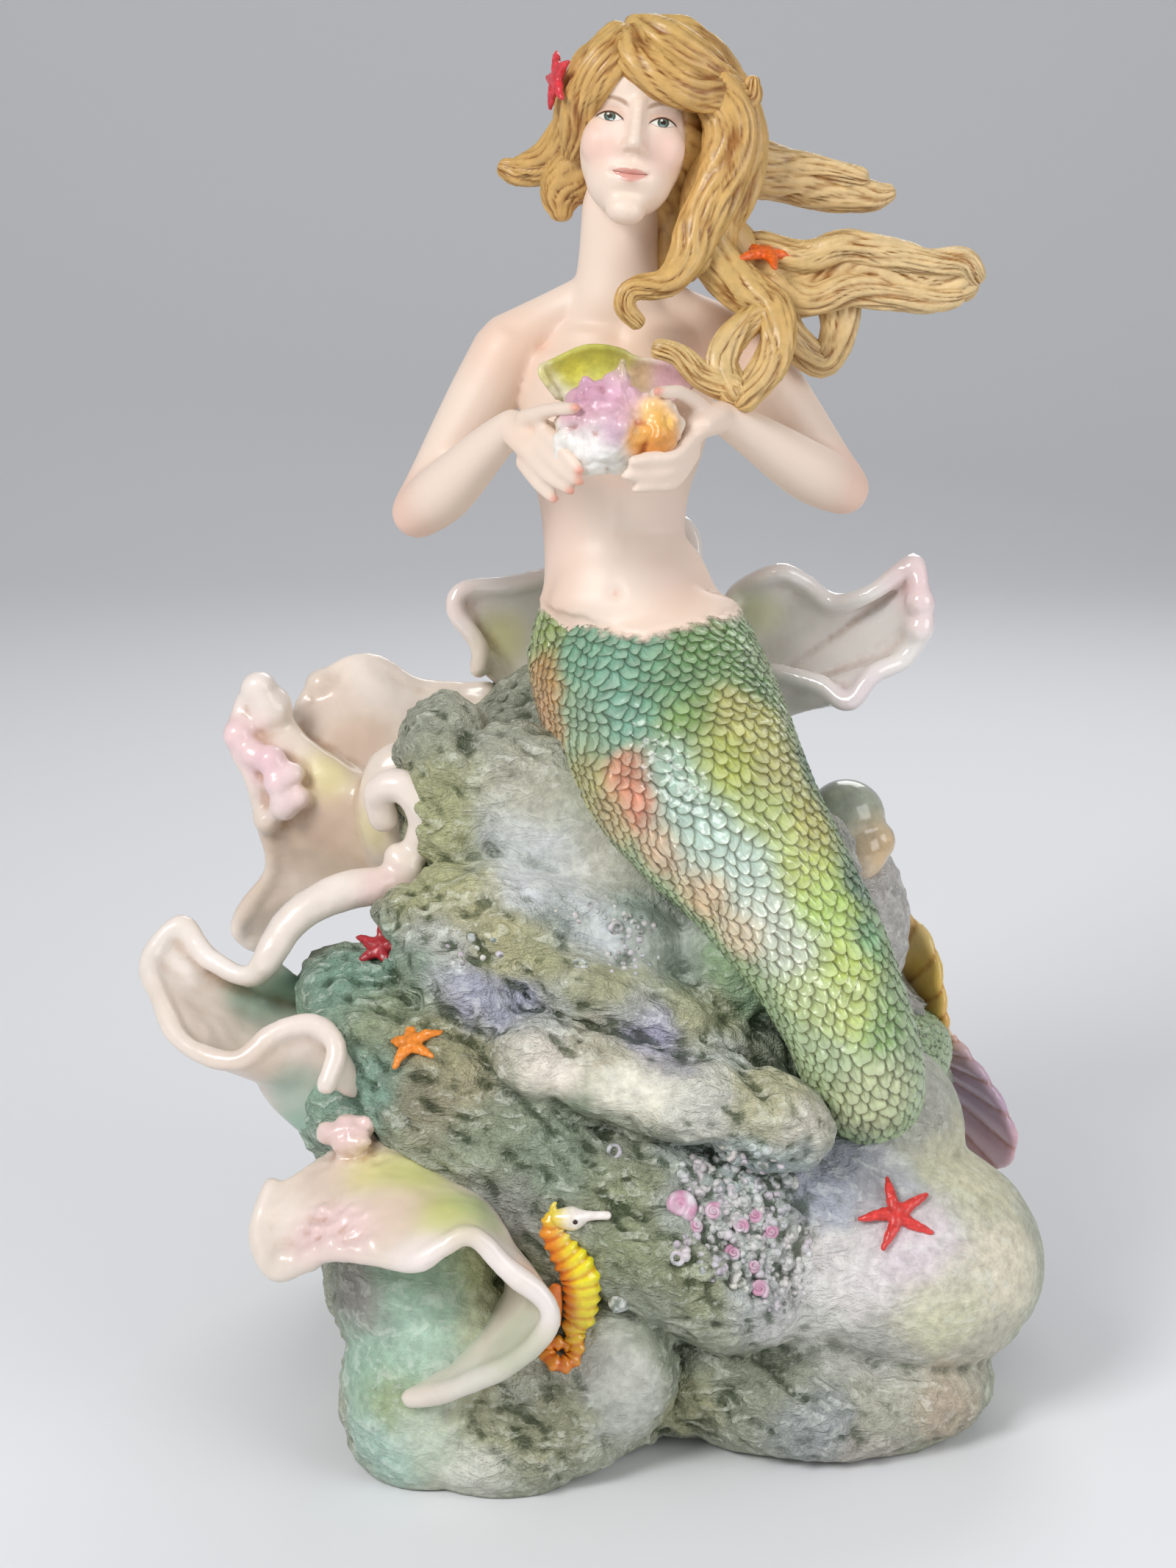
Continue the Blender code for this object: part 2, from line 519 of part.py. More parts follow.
def add_starfish(clay, centre, facing, turn=0.0):
    """Five arms that meet at the centre, in the plane that facing looks out of."""
    outward = Vector(facing).normalized()
    aside = outward.orthogonal().normalized()
    for arm in range(5):
        way = aside.copy()
        way.rotate(Matrix.Rotation(math.radians(turn) + math.tau * arm / 5, 3, outward))
        middle = Vector(centre) + way * STARFISH_REACH * 0.5
        tip = Vector(centre) + way * STARFISH_REACH - outward * 0.6
        rows = [(*centre, STARFISH_ARM_RADIUS * 1.4), (*middle, STARFISH_ARM_RADIUS)]
        add_roll(clay, [*rows, (*tip, STARFISH_ARM_RADIUS * 0.6)], facing=outward)


def front_of(clay):
    """Gives how far forward the clay reaches at an x and z, sunk by a share of what is laid there."""
    tree = BVHTree.FromBMesh(clay)

    def surface(x, z, radius):
        hit = tree.ray_cast(Vector((x, -400, z)), -FRONT)[0]
        return hit.y - 0.3 * radius

    return surface


def model_clay():
    clay = bmesh.new()
    add_rock(clay)
    rock_front = front_of(clay)
    add_torso(clay)
    add_arms(clay)
    add_conch(clay)
    add_head(clay)
    add_hair(clay)
    add_tail(clay)
    add_flukes(clay)
    add_side_growths(clay)
    add_leaves(clay)
    add_seahorse(clay, rock_front)
    for x, z, facing, turn in (
        (91, 80, (0.1, -0.75, 0.65), 18),
        (-52, 124, (-0.3, -0.5, 0.8), 40),
    ):
        lift = STARFISH_ARM_RADIUS
        add_starfish(clay, (x, rock_front(x, z, lift), z), facing, turn)
    add_starfish(clay, (-5, -16, 411), (-0.9, -0.35, 0.1), 10)
    add_starfish(clay, (53, -6, 358), (0.1, -0.6, 0.8), 30)
    return clay


def skinned(clay):
    """The clay as one mesh object with a single outer skin."""
    bmesh.ops.recalc_face_normals(clay, faces=clay.faces)
    bmesh.ops.scale(clay, vec=(MM, MM, MM), verts=clay.verts)
    mesh = bpy.data.meshes.new("mermaid_figurine")
    clay.to_mesh(mesh)
    clay.free()
    figurine = bpy.data.objects.new("mermaid_figurine", mesh)
    bpy.context.scene.collection.objects.link(figurine)
    skin = figurine.modifiers.new("skin", "REMESH")
    skin.mode = "VOXEL"
    skin.voxel_size = SKIN_STEP * MM
    soften = figurine.modifiers.new("soften", "SMOOTH")
    soften.factor = 0.5
    soften.iterations = SKIN_SMOOTHING
    return figurine


def outer_skin_only(shell):
    """Drops every closed pocket inside the outer skin, which is the piece with the most faces."""
    left = set(shell.verts)
    pieces = []
    while left:
        edge_of_piece = [left.pop()]
        piece = set(edge_of_piece)
        while edge_of_piece:
            vert = edge_of_piece.pop()
            for edge in vert.link_edges:
                other = edge.other_vert(vert)
                if other not in piece:
                    piece.add(other)
                    left.discard(other)
                    edge_of_piece.append(other)
        pieces.append(piece)
    pieces.sort(key=len)
    for piece in pieces[:-1]:
        bmesh.ops.delete(shell, geom=list(piece), context="VERTS")


def cut_below(shell, height):
    """Cuts away what lies below height, and closes the cut with a flat face."""
    geometry = shell.verts[:] + shell.edges[:] + shell.faces[:]
    plane = {"plane_co": (0, 0, height), "plane_no": (0, 0, 1)}
    cut = bmesh.ops.bisect_plane(shell, geom=geometry, clear_inner=True, **plane)
    rim = [item for item in cut["geom_cut"] if isinstance(item, bmesh.types.BMEdge)]
    bmesh.ops.triangle_fill(shell, edges=rim, use_beauty=True, normal=(0, 0, -1))
    bmesh.ops.recalc_face_normals(shell, faces=shell.faces)


def evaluated_shell(figurine):
    graph = bpy.context.evaluated_depsgraph_get()
    shell = bmesh.new()
    shell.from_mesh(figurine.evaluated_get(graph).to_mesh())
    return shell


def finish(figurine):
    """Applies the modifiers, thins the skin to its triangles, and cuts the rock off flat at Z = 0."""
    shell = evaluated_shell(figurine)
    outer_skin_only(shell)
    cut_below(shell, -ROUGH_CUT * MM)
    figurine.modifiers.clear()
    shell.to_mesh(figurine.data)
    shell.free()
    thin = figurine.modifiers.new("thin", "DECIMATE")
    thin.ratio = TRIANGLES / sum(len(face.vertices) - 2 for face in figurine.data.polygons)
    bpy.context.view_layer.update()
    shell = evaluated_shell(figurine)
    cut_below(shell, 0.0)
    figurine.modifiers.clear()
    shell.to_mesh(figurine.data)
    shell.free()


def glazed_porcelain():
    material = bpy.data.materials.new("painted_porcelain")
    material.use_nodes = True
    shader = material.node_tree.nodes["Principled BSDF"]
    shader.inputs["Base Color"].default_value = (0.55, 0.55, 0.42, 1)
    shader.inputs["Roughness"].default_value = 0.45
    return material


def main():
    for item in list(bpy.data.objects):
        bpy.data.objects.remove(item)
    figurine = skinned(model_clay())
    bpy.context.view_layer.update()
    finish(figurine)
    figurine.data.materials.append(glazed_porcelain())


main()
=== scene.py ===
"""The look of the porcelain mermaid figurine, built in the place of its solid.

Sizes are in millimetres where they are written down, and become metres in the meshes.
"""

import math

import bmesh
import bpy
import numpy as np
from mathutils import Euler, Matrix, Vector, noise
from mathutils.bvhtree import BVHTree


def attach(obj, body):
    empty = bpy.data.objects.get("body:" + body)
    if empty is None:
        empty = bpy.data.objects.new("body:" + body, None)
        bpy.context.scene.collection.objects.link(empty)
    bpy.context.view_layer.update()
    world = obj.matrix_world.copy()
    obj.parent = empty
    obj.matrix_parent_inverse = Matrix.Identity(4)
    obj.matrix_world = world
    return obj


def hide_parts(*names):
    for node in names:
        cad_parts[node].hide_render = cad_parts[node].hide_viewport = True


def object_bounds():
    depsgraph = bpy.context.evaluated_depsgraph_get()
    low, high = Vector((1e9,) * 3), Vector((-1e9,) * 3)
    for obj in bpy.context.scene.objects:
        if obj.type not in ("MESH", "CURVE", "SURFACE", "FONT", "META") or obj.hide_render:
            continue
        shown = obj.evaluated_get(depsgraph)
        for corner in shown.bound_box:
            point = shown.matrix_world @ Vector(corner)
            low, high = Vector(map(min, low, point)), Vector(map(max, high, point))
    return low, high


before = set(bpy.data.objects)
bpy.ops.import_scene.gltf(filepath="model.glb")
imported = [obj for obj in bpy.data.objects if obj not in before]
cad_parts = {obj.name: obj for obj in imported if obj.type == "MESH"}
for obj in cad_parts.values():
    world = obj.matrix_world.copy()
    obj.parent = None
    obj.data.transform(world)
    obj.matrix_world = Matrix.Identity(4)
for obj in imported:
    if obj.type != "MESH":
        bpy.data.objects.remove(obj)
solid_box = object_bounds()


# The rock. A hollow porcelain casting whose mould was taken from lumps of clay pressed together. It is
# painted in thin washes of moss green, grey, cream and lilac. Its colour is made darker in its hollows,
# and its raised points are made lighter as a painted highlight.
MM = 0.001
ROCK_GRAIN = 1.3
BOULDERS = (
    # Centre, half sizes and turn about Y and Z of each lump, and its share of the roughness.
    # The core comes first.
    ((16, 8, 40), (90, 84, 52), (0, 0), 0.6),
    ((2, 22, 100), (74, 62, 62), (0, 0), 0.6),
    ((-4, 26, 168), (50, 44, 58), (0, 0), 0.6),
    ((8, -14, 158), (50, 34, 42), (12, 0), 1.0),
    ((8, -38, 112), (66, 42, 42), (8, 0), 1.0),
    ((14, -60, 74), (70, 42, 36), (8, 0), 1.0),
    ((60, -44, 60), (60, 46, 42), (10, 0), 0.5),
    # The slab under the tail, and the mossy ridge beside it.
    ((0, -26, 182), (48, 18, 24), (36, 0), 0.2),
    ((-42, -14, 190), (18, 24, 36), (-8, 0), 0.8),
    # The ledge under the slab, the long cream ledge across the front, and the rock behind the tail.
    ((-12, -40, 150), (54, 28, 24), (12, 0), 1.2),
    ((-36, -52, 140), (26, 22, 17), (30, -10), 1.0),
    ((10, -56, 140), (34, 24, 15), (20, 0), 1.0),
    ((20, -64, 114), (54, 26, 17), (14, 0), 1.0),
    ((-14, -76, 127), (16, 15, 12), (0, 0), 0.5),
    ((8, -80, 122), (22, 16, 12), (10, 0), 0.5),
    ((30, -82, 116), (23, 17, 13), (14, 0), 0.5),
    ((52, -80, 108), (22, 17, 15), (14, 0), 0.5),
    ((46, -42, 146), (21, 22, 28), (15, 0), 0.6),
    ((60, -16, 146), (27, 34, 44), (10, 0), 0.6),
    # The slope from the left down to the front.
    ((-40, -58, 106), (64, 32, 30), (32, -26), 0.8),
    ((-68, -58, 108), (20, 20, 26), (20, 0), 0.4),
    ((24, -84, 66), (46, 24, 22), (30, 0), 0.8),
    # The smooth boulder on the right, and the lobes of the foot.
    ((96, -46, 52), (49, 46, 38), (14, 0), 0.2),
    ((86, -32, 80), (34, 36, 38), (20, 0), 0.2),
    ((74, -52, 14), (56, 46, 24), (0, 0), 0.8),
    ((-22, -68, 22), (50, 46, 34), (0, 0), 0.8),
    ((36, -64, 24), (38, 24, 26), (0, 0), 0.6),
    ((8, -92, 33), (19, 17, 24), (0, 0), 0.2),
    ((-27, -92, 14), (31, 23, 26), (0, 0), 0.6),
    ((-46, -88, 26), (29, 27, 38), (8, 0), 0.1),
    ((-52, -80, 58), (25, 26, 34), (10, 0), 0.1),
    ((-60, -50, 50), (22, 32, 48), (-6, 0), 1.0),
    # The back and the right side.
    ((84, 14, 132), (22, 24, 38), (8, 0), 0.3),
    ((80, 24, 86), (44, 42, 46), (0, 0), 1.0),
    ((-44, 46, 58), (48, 44, 62), (0, 0), 1.0),
    ((36, 58, 54), (60, 40, 58), (0, 0), 1.0),
    ((-14, 46, 118), (58, 44, 50), (0, 0), 1.0),
    ((34, 44, 122), (50, 40, 56), (0, 0), 1.0),
)
# The lens that the frame is seen through, in metres, with the frame's size and focal length in its points.
EYE = Vector((0, -0.83, 0.39))
AIM = Vector((0, 0, 0.192))
STAND_OFF = 0.85
FRAME_WIDTH, FRAME_HEIGHT = 1600, 2133
FOCAL = 3608.0


def lump(centre, half, turn=(0, 0), sides=40):
    """An egg-shaped lump of clay, turned by degrees about Y and then Z."""
    bpy.ops.object.select_all(action="DESELECT")
    bpy.ops.mesh.primitive_uv_sphere_add(
        segments=sides,
        ring_count=sides * 2 // 3,
        radius=MM,
        location=Vector(centre) * MM,
        rotation=(0, math.radians(turn[0]), math.radians(turn[1])),
        scale=half,
    )
    return bpy.context.object


def joined(parts, name):
    """The parts as one object at the origin, with its place in its mesh."""
    bpy.ops.object.select_all(action="DESELECT")
    for part in parts:
        part.select_set(True)
    bpy.context.view_layer.objects.active = parts[0]
    if len(parts) > 1:
        bpy.ops.object.join()
    piece = bpy.context.object
    bpy.ops.object.transform_apply(location=True, rotation=True, scale=True)
    piece.name = name
    return piece


def volume_of(piece):
    shell = bmesh.new()
    shell.from_mesh(piece.data)
    volume = shell.calc_volume(signed=True)
    shell.free()
    return volume


def skinned(piece, grain, softening):
    """One skin over all the clay of a piece, with its seams rubbed smooth and no pocket left inside."""
    name = piece.name
    skin = piece.modifiers.new("skin", "REMESH")
    skin.mode = "VOXEL"
    skin.voxel_size = grain * MM
    bpy.ops.object.modifier_apply(modifier=skin.name)
    rub = piece.modifiers.new("rub", "SMOOTH")
    rub.iterations = softening
    bpy.ops.object.modifier_apply(modifier=rub.name)
    bpy.ops.object.mode_set(mode="EDIT")
    bpy.ops.mesh.select_all(action="SELECT")
    bpy.ops.mesh.separate(type="LOOSE")
    bpy.ops.object.mode_set(mode="OBJECT")
    kept = []
    for shell in list(bpy.context.selected_objects):
        if volume_of(shell) > 0:
            kept.append(shell)
        else:
            bpy.data.objects.remove(shell)
    piece = joined(kept, name)
    bpy.ops.object.shade_smooth()
    return piece


def points_of(piece):
    """The vertices of a piece in millimetres, and their normals."""
    places = np.empty(len(piece.data.vertices) * 3)
    piece.data.vertices.foreach_get("co", places)
    normals = np.empty(len(piece.data.vertices) * 3)
    piece.data.vertices.foreach_get("normal", normals)
    return places.reshape(-1, 3) / MM, normals.reshape(-1, 3)


def unit(ways):
    return ways / np.maximum(np.linalg.norm(ways, axis=-1, keepdims=True), 1e-9)


def set_points(piece, places):
    piece.data.vertices.foreach_set("co", (places * MM).ravel())
    piece.data.update()


def near(places, centre, half):
    """1 at centre, fading to 0 over half sizes."""
    reach = (places - np.array(centre, float)) / np.array(half, float)
    return np.exp(-1.3 * (reach**2).sum(axis=1))


def lumpy(places, size, seed=0.0, stretch=(1, 1, 1)):
    """Smooth noise from -1 to 1 at each place, with bumps of the given size."""
    scaled = places / (size * np.array(stretch, float)) + seed
    return np.array([noise.noise(place) for place in scaled])


def dents(piece, rounds=2):
    """How much each vertex lies in a hollow, from -1 on an edge to 1 in a crevice."""
    places, normals = points_of(piece)
    ends = np.empty(len(piece.data.edges) * 2, dtype=np.int64)
    piece.data.edges.foreach_get("vertices", ends)
    ends = ends.reshape(-1, 2)
    count = np.bincount(ends.ravel(), minlength=len(places))[:, None]

    def blurred(values):
        total = np.zeros_like(values)
        np.add.at(total, ends[:, 0], values[ends[:, 1]])
        np.add.at(total, ends[:, 1], values[ends[:, 0]])
        return total / count

    middle = places
    for _ in range(rounds + 2):
        middle = blurred(middle)
    depth = ((middle - places) * normals).sum(axis=1)[:, None]
    for _ in range(rounds):
        depth = blurred(depth)
    return np.clip(depth[:, 0] / 0.35, -1, 1)


def pigment(red, green, blue):
    """A colour as the eye reads it, 0 to 255, made linear for the shaders."""
    share = np.array([red, green, blue]) / 255
    return np.where(share <= 0.04045, share / 12.92, ((share + 0.055) / 1.055) ** 2.4)


def tree_of(piece):
    return BVHTree.FromObject(piece, bpy.context.evaluated_depsgraph_get())


def seen(tree, across, down):
    """The place in millimetres and the normal of the surface behind a point of the frame."""
    ahead = (AIM - EYE).normalized()
    right = ahead.cross(Vector((0, 0, 1))).normalized()
    way = ahead + right * (across - FRAME_WIDTH / 2) / FOCAL
    way += right.cross(ahead) * (FRAME_HEIGHT / 2 - down) / FOCAL
    hit, normal = tree.ray_cast(EYE, way)[:2]
    if hit is None:
        hit, normal = tree.find_nearest(EYE + way * STAND_OFF)[:2]
    return np.array(hit) / MM, np.array(normal)


def spots_on(piece, spots):
    """Stains from spots: across and down in the frame, a reach in millimetres, and red, green and blue."""
    tree = tree_of(piece)
    return [(seen(tree, across, down)[0], (reach,) * 3, colour) for across, down, reach, *colour in spots]


def washes(places, ground, stains, ground_weight=0.12, ragged=0.0):
    """The paint at each place: the ground colour under stains of (centre, half sizes, colour).

    Ragged is how far in millimetres the edges of the stains wander.
    """
    if ragged:
        wander = [noise.turbulence_vector(place / 9, 3, False) for place in places]
        places = places + ragged * np.array(wander)
    weight = np.full(len(places), ground_weight)
    colour = pigment(*ground) * weight[:, None]
    for centre, half, stain in stains:
        share = near(places, centre, half)
        weight += share
        colour += pigment(*stain) * share[:, None]
    return colour / weight[:, None]


def lay_paint(piece, colour):
    """Stores the painted colour of each vertex."""
    layer = piece.data.attributes.new("paint", "FLOAT_COLOR", "POINT")
    layer.data.foreach_set("color", np.column_stack((colour, np.ones(len(colour)))).ravel())


def lay_mask(piece, name, values):
    layer = piece.data.attributes.new(name, "FLOAT", "POINT")
    layer.data.foreach_set("value", np.asarray(values, float))


def feed(tree, node, inputs):
    """Sets each input of a node, or links it where its value is a socket."""
    for name, value in inputs.items():
        if isinstance(value, bpy.types.NodeSocket):
            tree.links.new(value, node.inputs[name])
        else:
            node.inputs[name].default_value = value


def add_node(tree, kind, inputs=None, **settings):
    """A shader node with its settings and inputs."""
    node = tree.nodes.new(kind)
    for name, value in settings.items():
        setattr(node, name, value)
    feed(tree, node, inputs or {})
    return node


def new_group(name, inputs, outputs):
    """An empty shader group: returns its tree, the node of its inputs and the node of its outputs."""
    tree = bpy.data.node_groups.new(name, "ShaderNodeTree")
    for label, kind, value in inputs:
        socket = tree.interface.new_socket(label, in_out="INPUT", socket_type=kind)
        if value is not None:
            socket.default_value = value
    for label, kind in outputs:
        tree.interface.new_socket(label, in_out="OUTPUT", socket_type=kind)
    return tree, tree.nodes.new("NodeGroupInput"), tree.nodes.new("NodeGroupOutput")


def blend_colours(tree, share, first, second, blend_type="MIX"):
    """The colour output of a mix of two colours."""
    inputs = {0: share, 6: first, 7: second}
    return add_node(tree, "ShaderNodeMix", inputs, data_type="RGBA", blend_type=blend_type).outputs[2]


def noise_in(tree, place, scale, detail=6.0, roughness=0.62, distortion=0.0):
    """The value of a cloudy pattern at each place."""
    inputs = {"Vector": place, "Scale": scale, "Detail": detail, "Roughness": roughness}
    return add_node(tree, "ShaderNodeTexNoise", {**inputs, "Distortion": distortion}).outputs["Fac"]


def ranged(tree, value, low, high, start=0.0, end=1.0, curve="LINEAR"):
    """A value that goes from low to high, as one that goes from start to end."""
    inputs = {"Value": value, "From Min": low, "From Max": high, "To Min": start, "To Max": end}
    return add_node(tree, "ShaderNodeMapRange", inputs, interpolation_type=curve).outputs[0]


def math_in(tree):
    """A function that works out an operation on its values with a node of the tree."""

    def math_of(operation, *values):
        return add_node(tree, "ShaderNodeMath", dict(enumerate(values)), operation=operation).outputs[0]

    return math_of


def build_brushwork():
    """Uneven brush strokes: lighter and darker patches of a colour, with a fine speckle."""
    tree, given, result = new_group(
        "brushwork",
        (
            ("Colour", "NodeSocketColor", None),
            ("Place", "NodeSocketVector", None),
            ("Patch", "NodeSocketFloat", 90.0),
            ("Strength", "NodeSocketFloat", 0.3),
        ),
        (("Colour", "NodeSocketColor"),),
    )
    patch = noise_in(tree, given.outputs["Place"], given.outputs["Patch"])
    value = ranged(tree, patch, 0.28, 0.72, -1.0, 1.0)
    shade = math_in(tree)("MULTIPLY_ADD", value, given.outputs["Strength"], 1.0)
    inputs = {0: given.outputs["Colour"], "Scale": shade}
    painted = add_node(tree, "ShaderNodeVectorMath", inputs, operation="SCALE")
    feed(tree, result, {"Colour": painted.outputs[0]})
    return tree


def build_hollow_darkening():
    """Multiplies in a darker colour where a mask is high, broken up by the grain of the clay."""
    tree, given, result = new_group(
        "hollow darkening",
        (
            ("Colour", "NodeSocketColor", None),
            ("Place", "NodeSocketVector", None),
            ("Hollow", "NodeSocketFloat", 0.0),
            ("Darker Colour", "NodeSocketColor", None),
            ("Low", "NodeSocketFloat", 0.0),
            ("High", "NodeSocketFloat", 1.0),
            ("Grain Scale", "NodeSocketFloat", 420.0),
            ("Break", "NodeSocketFloat", 0.4),
        ),
        (("Colour", "NodeSocketColor"), ("Grain", "NodeSocketFloat")),
    )
    grain = noise_in(tree, given.outputs["Place"], given.outputs["Grain Scale"])
    pits = ranged(tree, grain, 0.3, 0.7, 1.0, -1.0)
    level = math_in(tree)("MULTIPLY_ADD", pits, given.outputs["Break"], given.outputs["Hollow"])
    share = ranged(tree, level, given.outputs["Low"], given.outputs["High"], curve="SMOOTHSTEP")
    covered = blend_colours(tree, share, given.outputs["Colour"], given.outputs["Darker Colour"], "MULTIPLY")
    feed(tree, result, {"Colour": covered, "Grain": grain})
    return tree


BRUSHWORK = build_brushwork()
HOLLOW_DARKENING = build_hollow_darkening()


def new_material(name):
    """A material with its node tree and its shader."""
    material = bpy.data.materials.new(name)
    material.use_nodes = True
    return material, material.node_tree, material.node_tree.nodes["Principled BSDF"]


def place_in(tree):
    """The place on the piece, in metres."""
    return add_node(tree, "ShaderNodeTexCoord").outputs["Object"]


def stored(tree, name, output="Fac"):
    """The mask or the colour that is stored at each vertex."""
    return add_node(tree, "ShaderNodeAttribute", attribute_name=name).outputs[output]


def add_group(tree, group, inputs):
    return add_node(tree, "ShaderNodeGroup", inputs, node_tree=group)


def raise_by(tree, shader, strength, distance, height):
    """Gives the shader a fine relief from a height."""
    inputs = {"Strength": strength, "Distance": distance, "Height": height}
    feed(tree, shader, {"Normal": add_node(tree, "ShaderNodeBump", inputs).outputs["Normal"]})


def painted_material(name, roughness, brush, darkening, grain=(420.0, 0.2), bump=0.0, coat=0.0):
    """Porcelain in the stored paint: brush is a patch scale and strength, darkening a colour, low and high.
    """
    material, tree, shader = new_material(name)
    place = place_in(tree)
    paint = stored(tree, "paint", "Color")
    inputs = {"Colour": paint, "Place": place, "Patch": brush[0], "Strength": brush[1]}
    brushed = add_group(tree, BRUSHWORK, inputs)
    inputs = {
        "Colour": brushed.outputs["Colour"],
        "Place": place,
        "Hollow": stored(tree, "hollow"),
        "Darker Colour": (*pigment(*darkening[0]), 1),
        "Low": darkening[1],
        "High": darkening[2],
        "Grain Scale": grain[0],
        "Break": grain[1],
    }
    darkened = add_group(tree, HOLLOW_DARKENING, inputs)
    feed(tree, shader, {"Base Color": darkened.outputs["Colour"], "Roughness": roughness})
    feed(tree, shader, {"Coat Weight": coat, "Coat Roughness": 0.08})
    if bump:
        raise_by(tree, shader, bump, 0.0009, darkened.outputs["Grain"])
    return material


def build_carved_clay():
    """The tool marks in carved clay: crisp grooves and small pits, finer than the mesh can hold."""
    tree, given, result = new_group(
        "carved clay",
        (
            ("Place", "NodeSocketVector", None),
            ("Scale", "NodeSocketFloat", 200.0),
            ("Sharpness", "NodeSocketFloat", 8.0),
        ),
        (("Height", "NodeSocketFloat"), ("Groove", "NodeSocketFloat")),
    )

    math_of = math_in(tree)
    turned = {"Vector": given.outputs["Place"], "Rotation": (0.2, -0.65, -0.2), "Scale": (0.5, 1, 1)}
    along_slope = add_node(tree, "ShaderNodeMapping", turned).outputs[0]
    wide = noise_in(tree, along_slope, given.outputs["Scale"], 5.0, 0.62, 0.5)
    fine = noise_in(tree, given.outputs["Place"], math_of("MULTIPLY", given.outputs["Scale"], 4.1), 3.0, 0.6)
    off_line = math_of("ABSOLUTE", math_of("SUBTRACT", wide, 0.5))
    ridge = math_of("MINIMUM", math_of("MULTIPLY", off_line, given.outputs["Sharpness"]), 1.0)
    pits = math_of("MINIMUM", math_of("MULTIPLY", math_of("SUBTRACT", fine, 0.3), 4.0), 1.0)
    height = math_of("MULTIPLY_ADD", math_of("MAXIMUM", pits, 0.0), 0.5, ridge)
    feed(tree, result, {"Height": height, "Groove": math_of("SUBTRACT", 1.5, height)})
    return tree


def boulder(centre, half, turn, share):
    """A lump of the rock, with swellings that stand out by its share of the roughness."""
    piece = lump(centre, half, turn)
    bpy.ops.object.transform_apply(location=True, rotation=True, scale=True)
    places = points_of(piece)[0]
    swelling = lumpy(places, 26) + 0.6 * lumpy(places, 11.7)
    set_points(piece, places + unit(places - np.array(centre)) * (4.6 * share * swelling)[:, None])
    return piece


# The edges of the stains wander by draws from this seed, which come out the same each time.
WANDER_SEED = 7
noise.seed_set(WANDER_SEED)
rock = skinned(joined([boulder(*lump_of_rock) for lump_of_rock in BOULDERS], "rock"), ROCK_GRAIN, 6)

# The back, the underside and the flat base are left coarser than the front.
places, normals = points_of(rock)
plain = (places[:, 1] > 24) | (normals[:, 1] > 0.35) | (places[:, 2] < 0.6) | (normals[:, 2] < -0.75)
group = rock.vertex_groups.new(name="plain")
group.add(np.nonzero(plain)[0].tolist(), 1.0, "REPLACE")
coarser = rock.modifiers.new("coarser", "DECIMATE")
coarser.ratio = 0.52
coarser.vertex_group = group.name
bpy.ops.object.select_all(action="DESELECT")
rock.select_set(True)
bpy.context.view_layer.objects.active = rock
bpy.ops.object.modifier_apply(modifier=coarser.name)

# The carved surface: smooth where it is made as if worn, and elsewhere ridged along the slope and pitted,
# with a bubbly crust among the shells at the front.
places, normals = points_of(rock)
rock_tree = tree_of(rock)
worn = np.zeros(len(places))
for centre, half in (
    ((2, -40, 184), (42, 24, 26)),
    ((22, -60, 158), (26, 20, 16)),
    ((108, -56, 58), (58, 54, 48)),
    ((96, -30, 96), (34, 34, 26)),
    ((-54, -104, 48), (30, 26, 44)),
    ((-48, -100, 20), (20, 26, 24)),
    ((12, -106, 36), (15, 14, 22)),
    ((-82, -46, 116), (22, 24, 22)),
    ((84, 14, 136), (24, 26, 34)),
    ((0, -96, 122), (30, 12, 10)),
):
    worn = np.maximum(worn, np.clip(1.8 * near(places, centre, half), 0, 1))
rough = 1.0 - 0.93 * worn
down_slope = unit(np.array((0.78, -0.2, -0.6)))
over_slope = unit(np.cross(down_slope, (0, -1, 0)))
out_of_slope = np.cross(down_slope, over_slope)
sloped = np.column_stack((places @ down_slope, places @ over_slope, places @ out_of_slope))
ridges = 0.5 - np.abs(lumpy(sloped, 9, 7.7, (2.6, 1, 1)))
strata = lumpy(sloped, 3.4, 4.4, (2.6, 1, 1))
crumbs = 0.35 - np.abs(lumpy(places, 5.2, 21.0))
crusty = np.zeros(len(places))
for across, down, reach, share in (
    (1000, 1590, 15, 1.7),
    (1040, 1640, 15, 1.7),
    (985, 1700, 14, 1.7),
    (1045, 1740, 12, 1.7),
    (1060, 1680, 12, 1.7),
    (862, 1262, 7, 1),
    (856, 1300, 6, 1),
    (650, 1290, 8, 1),
    (660, 1930, 12, 1),
    (720, 1950, 9, 1),
):
    patch = near(places, seen(rock_tree, across, down)[0], (reach,) * 3)
    crusty = np.maximum(crusty, np.clip(share * patch, 0, 1))
bubbles = np.zeros(len(places))
for index in np.nonzero(crusty > 0.03)[0]:
    gaps = noise.voronoi(Vector(places[index] / 5.2))[0]
    bubbles[index] = min(gaps[1] - gaps[0], 0.5) - 0.22
carving = rough * (2.5 * ridges + 1.9 * strata + 1.3 * crumbs) + 4.6 * crusty * bubbles
carving *= np.clip(places[:, 2] / 8, 0, 1)
places += normals * carving[:, None]
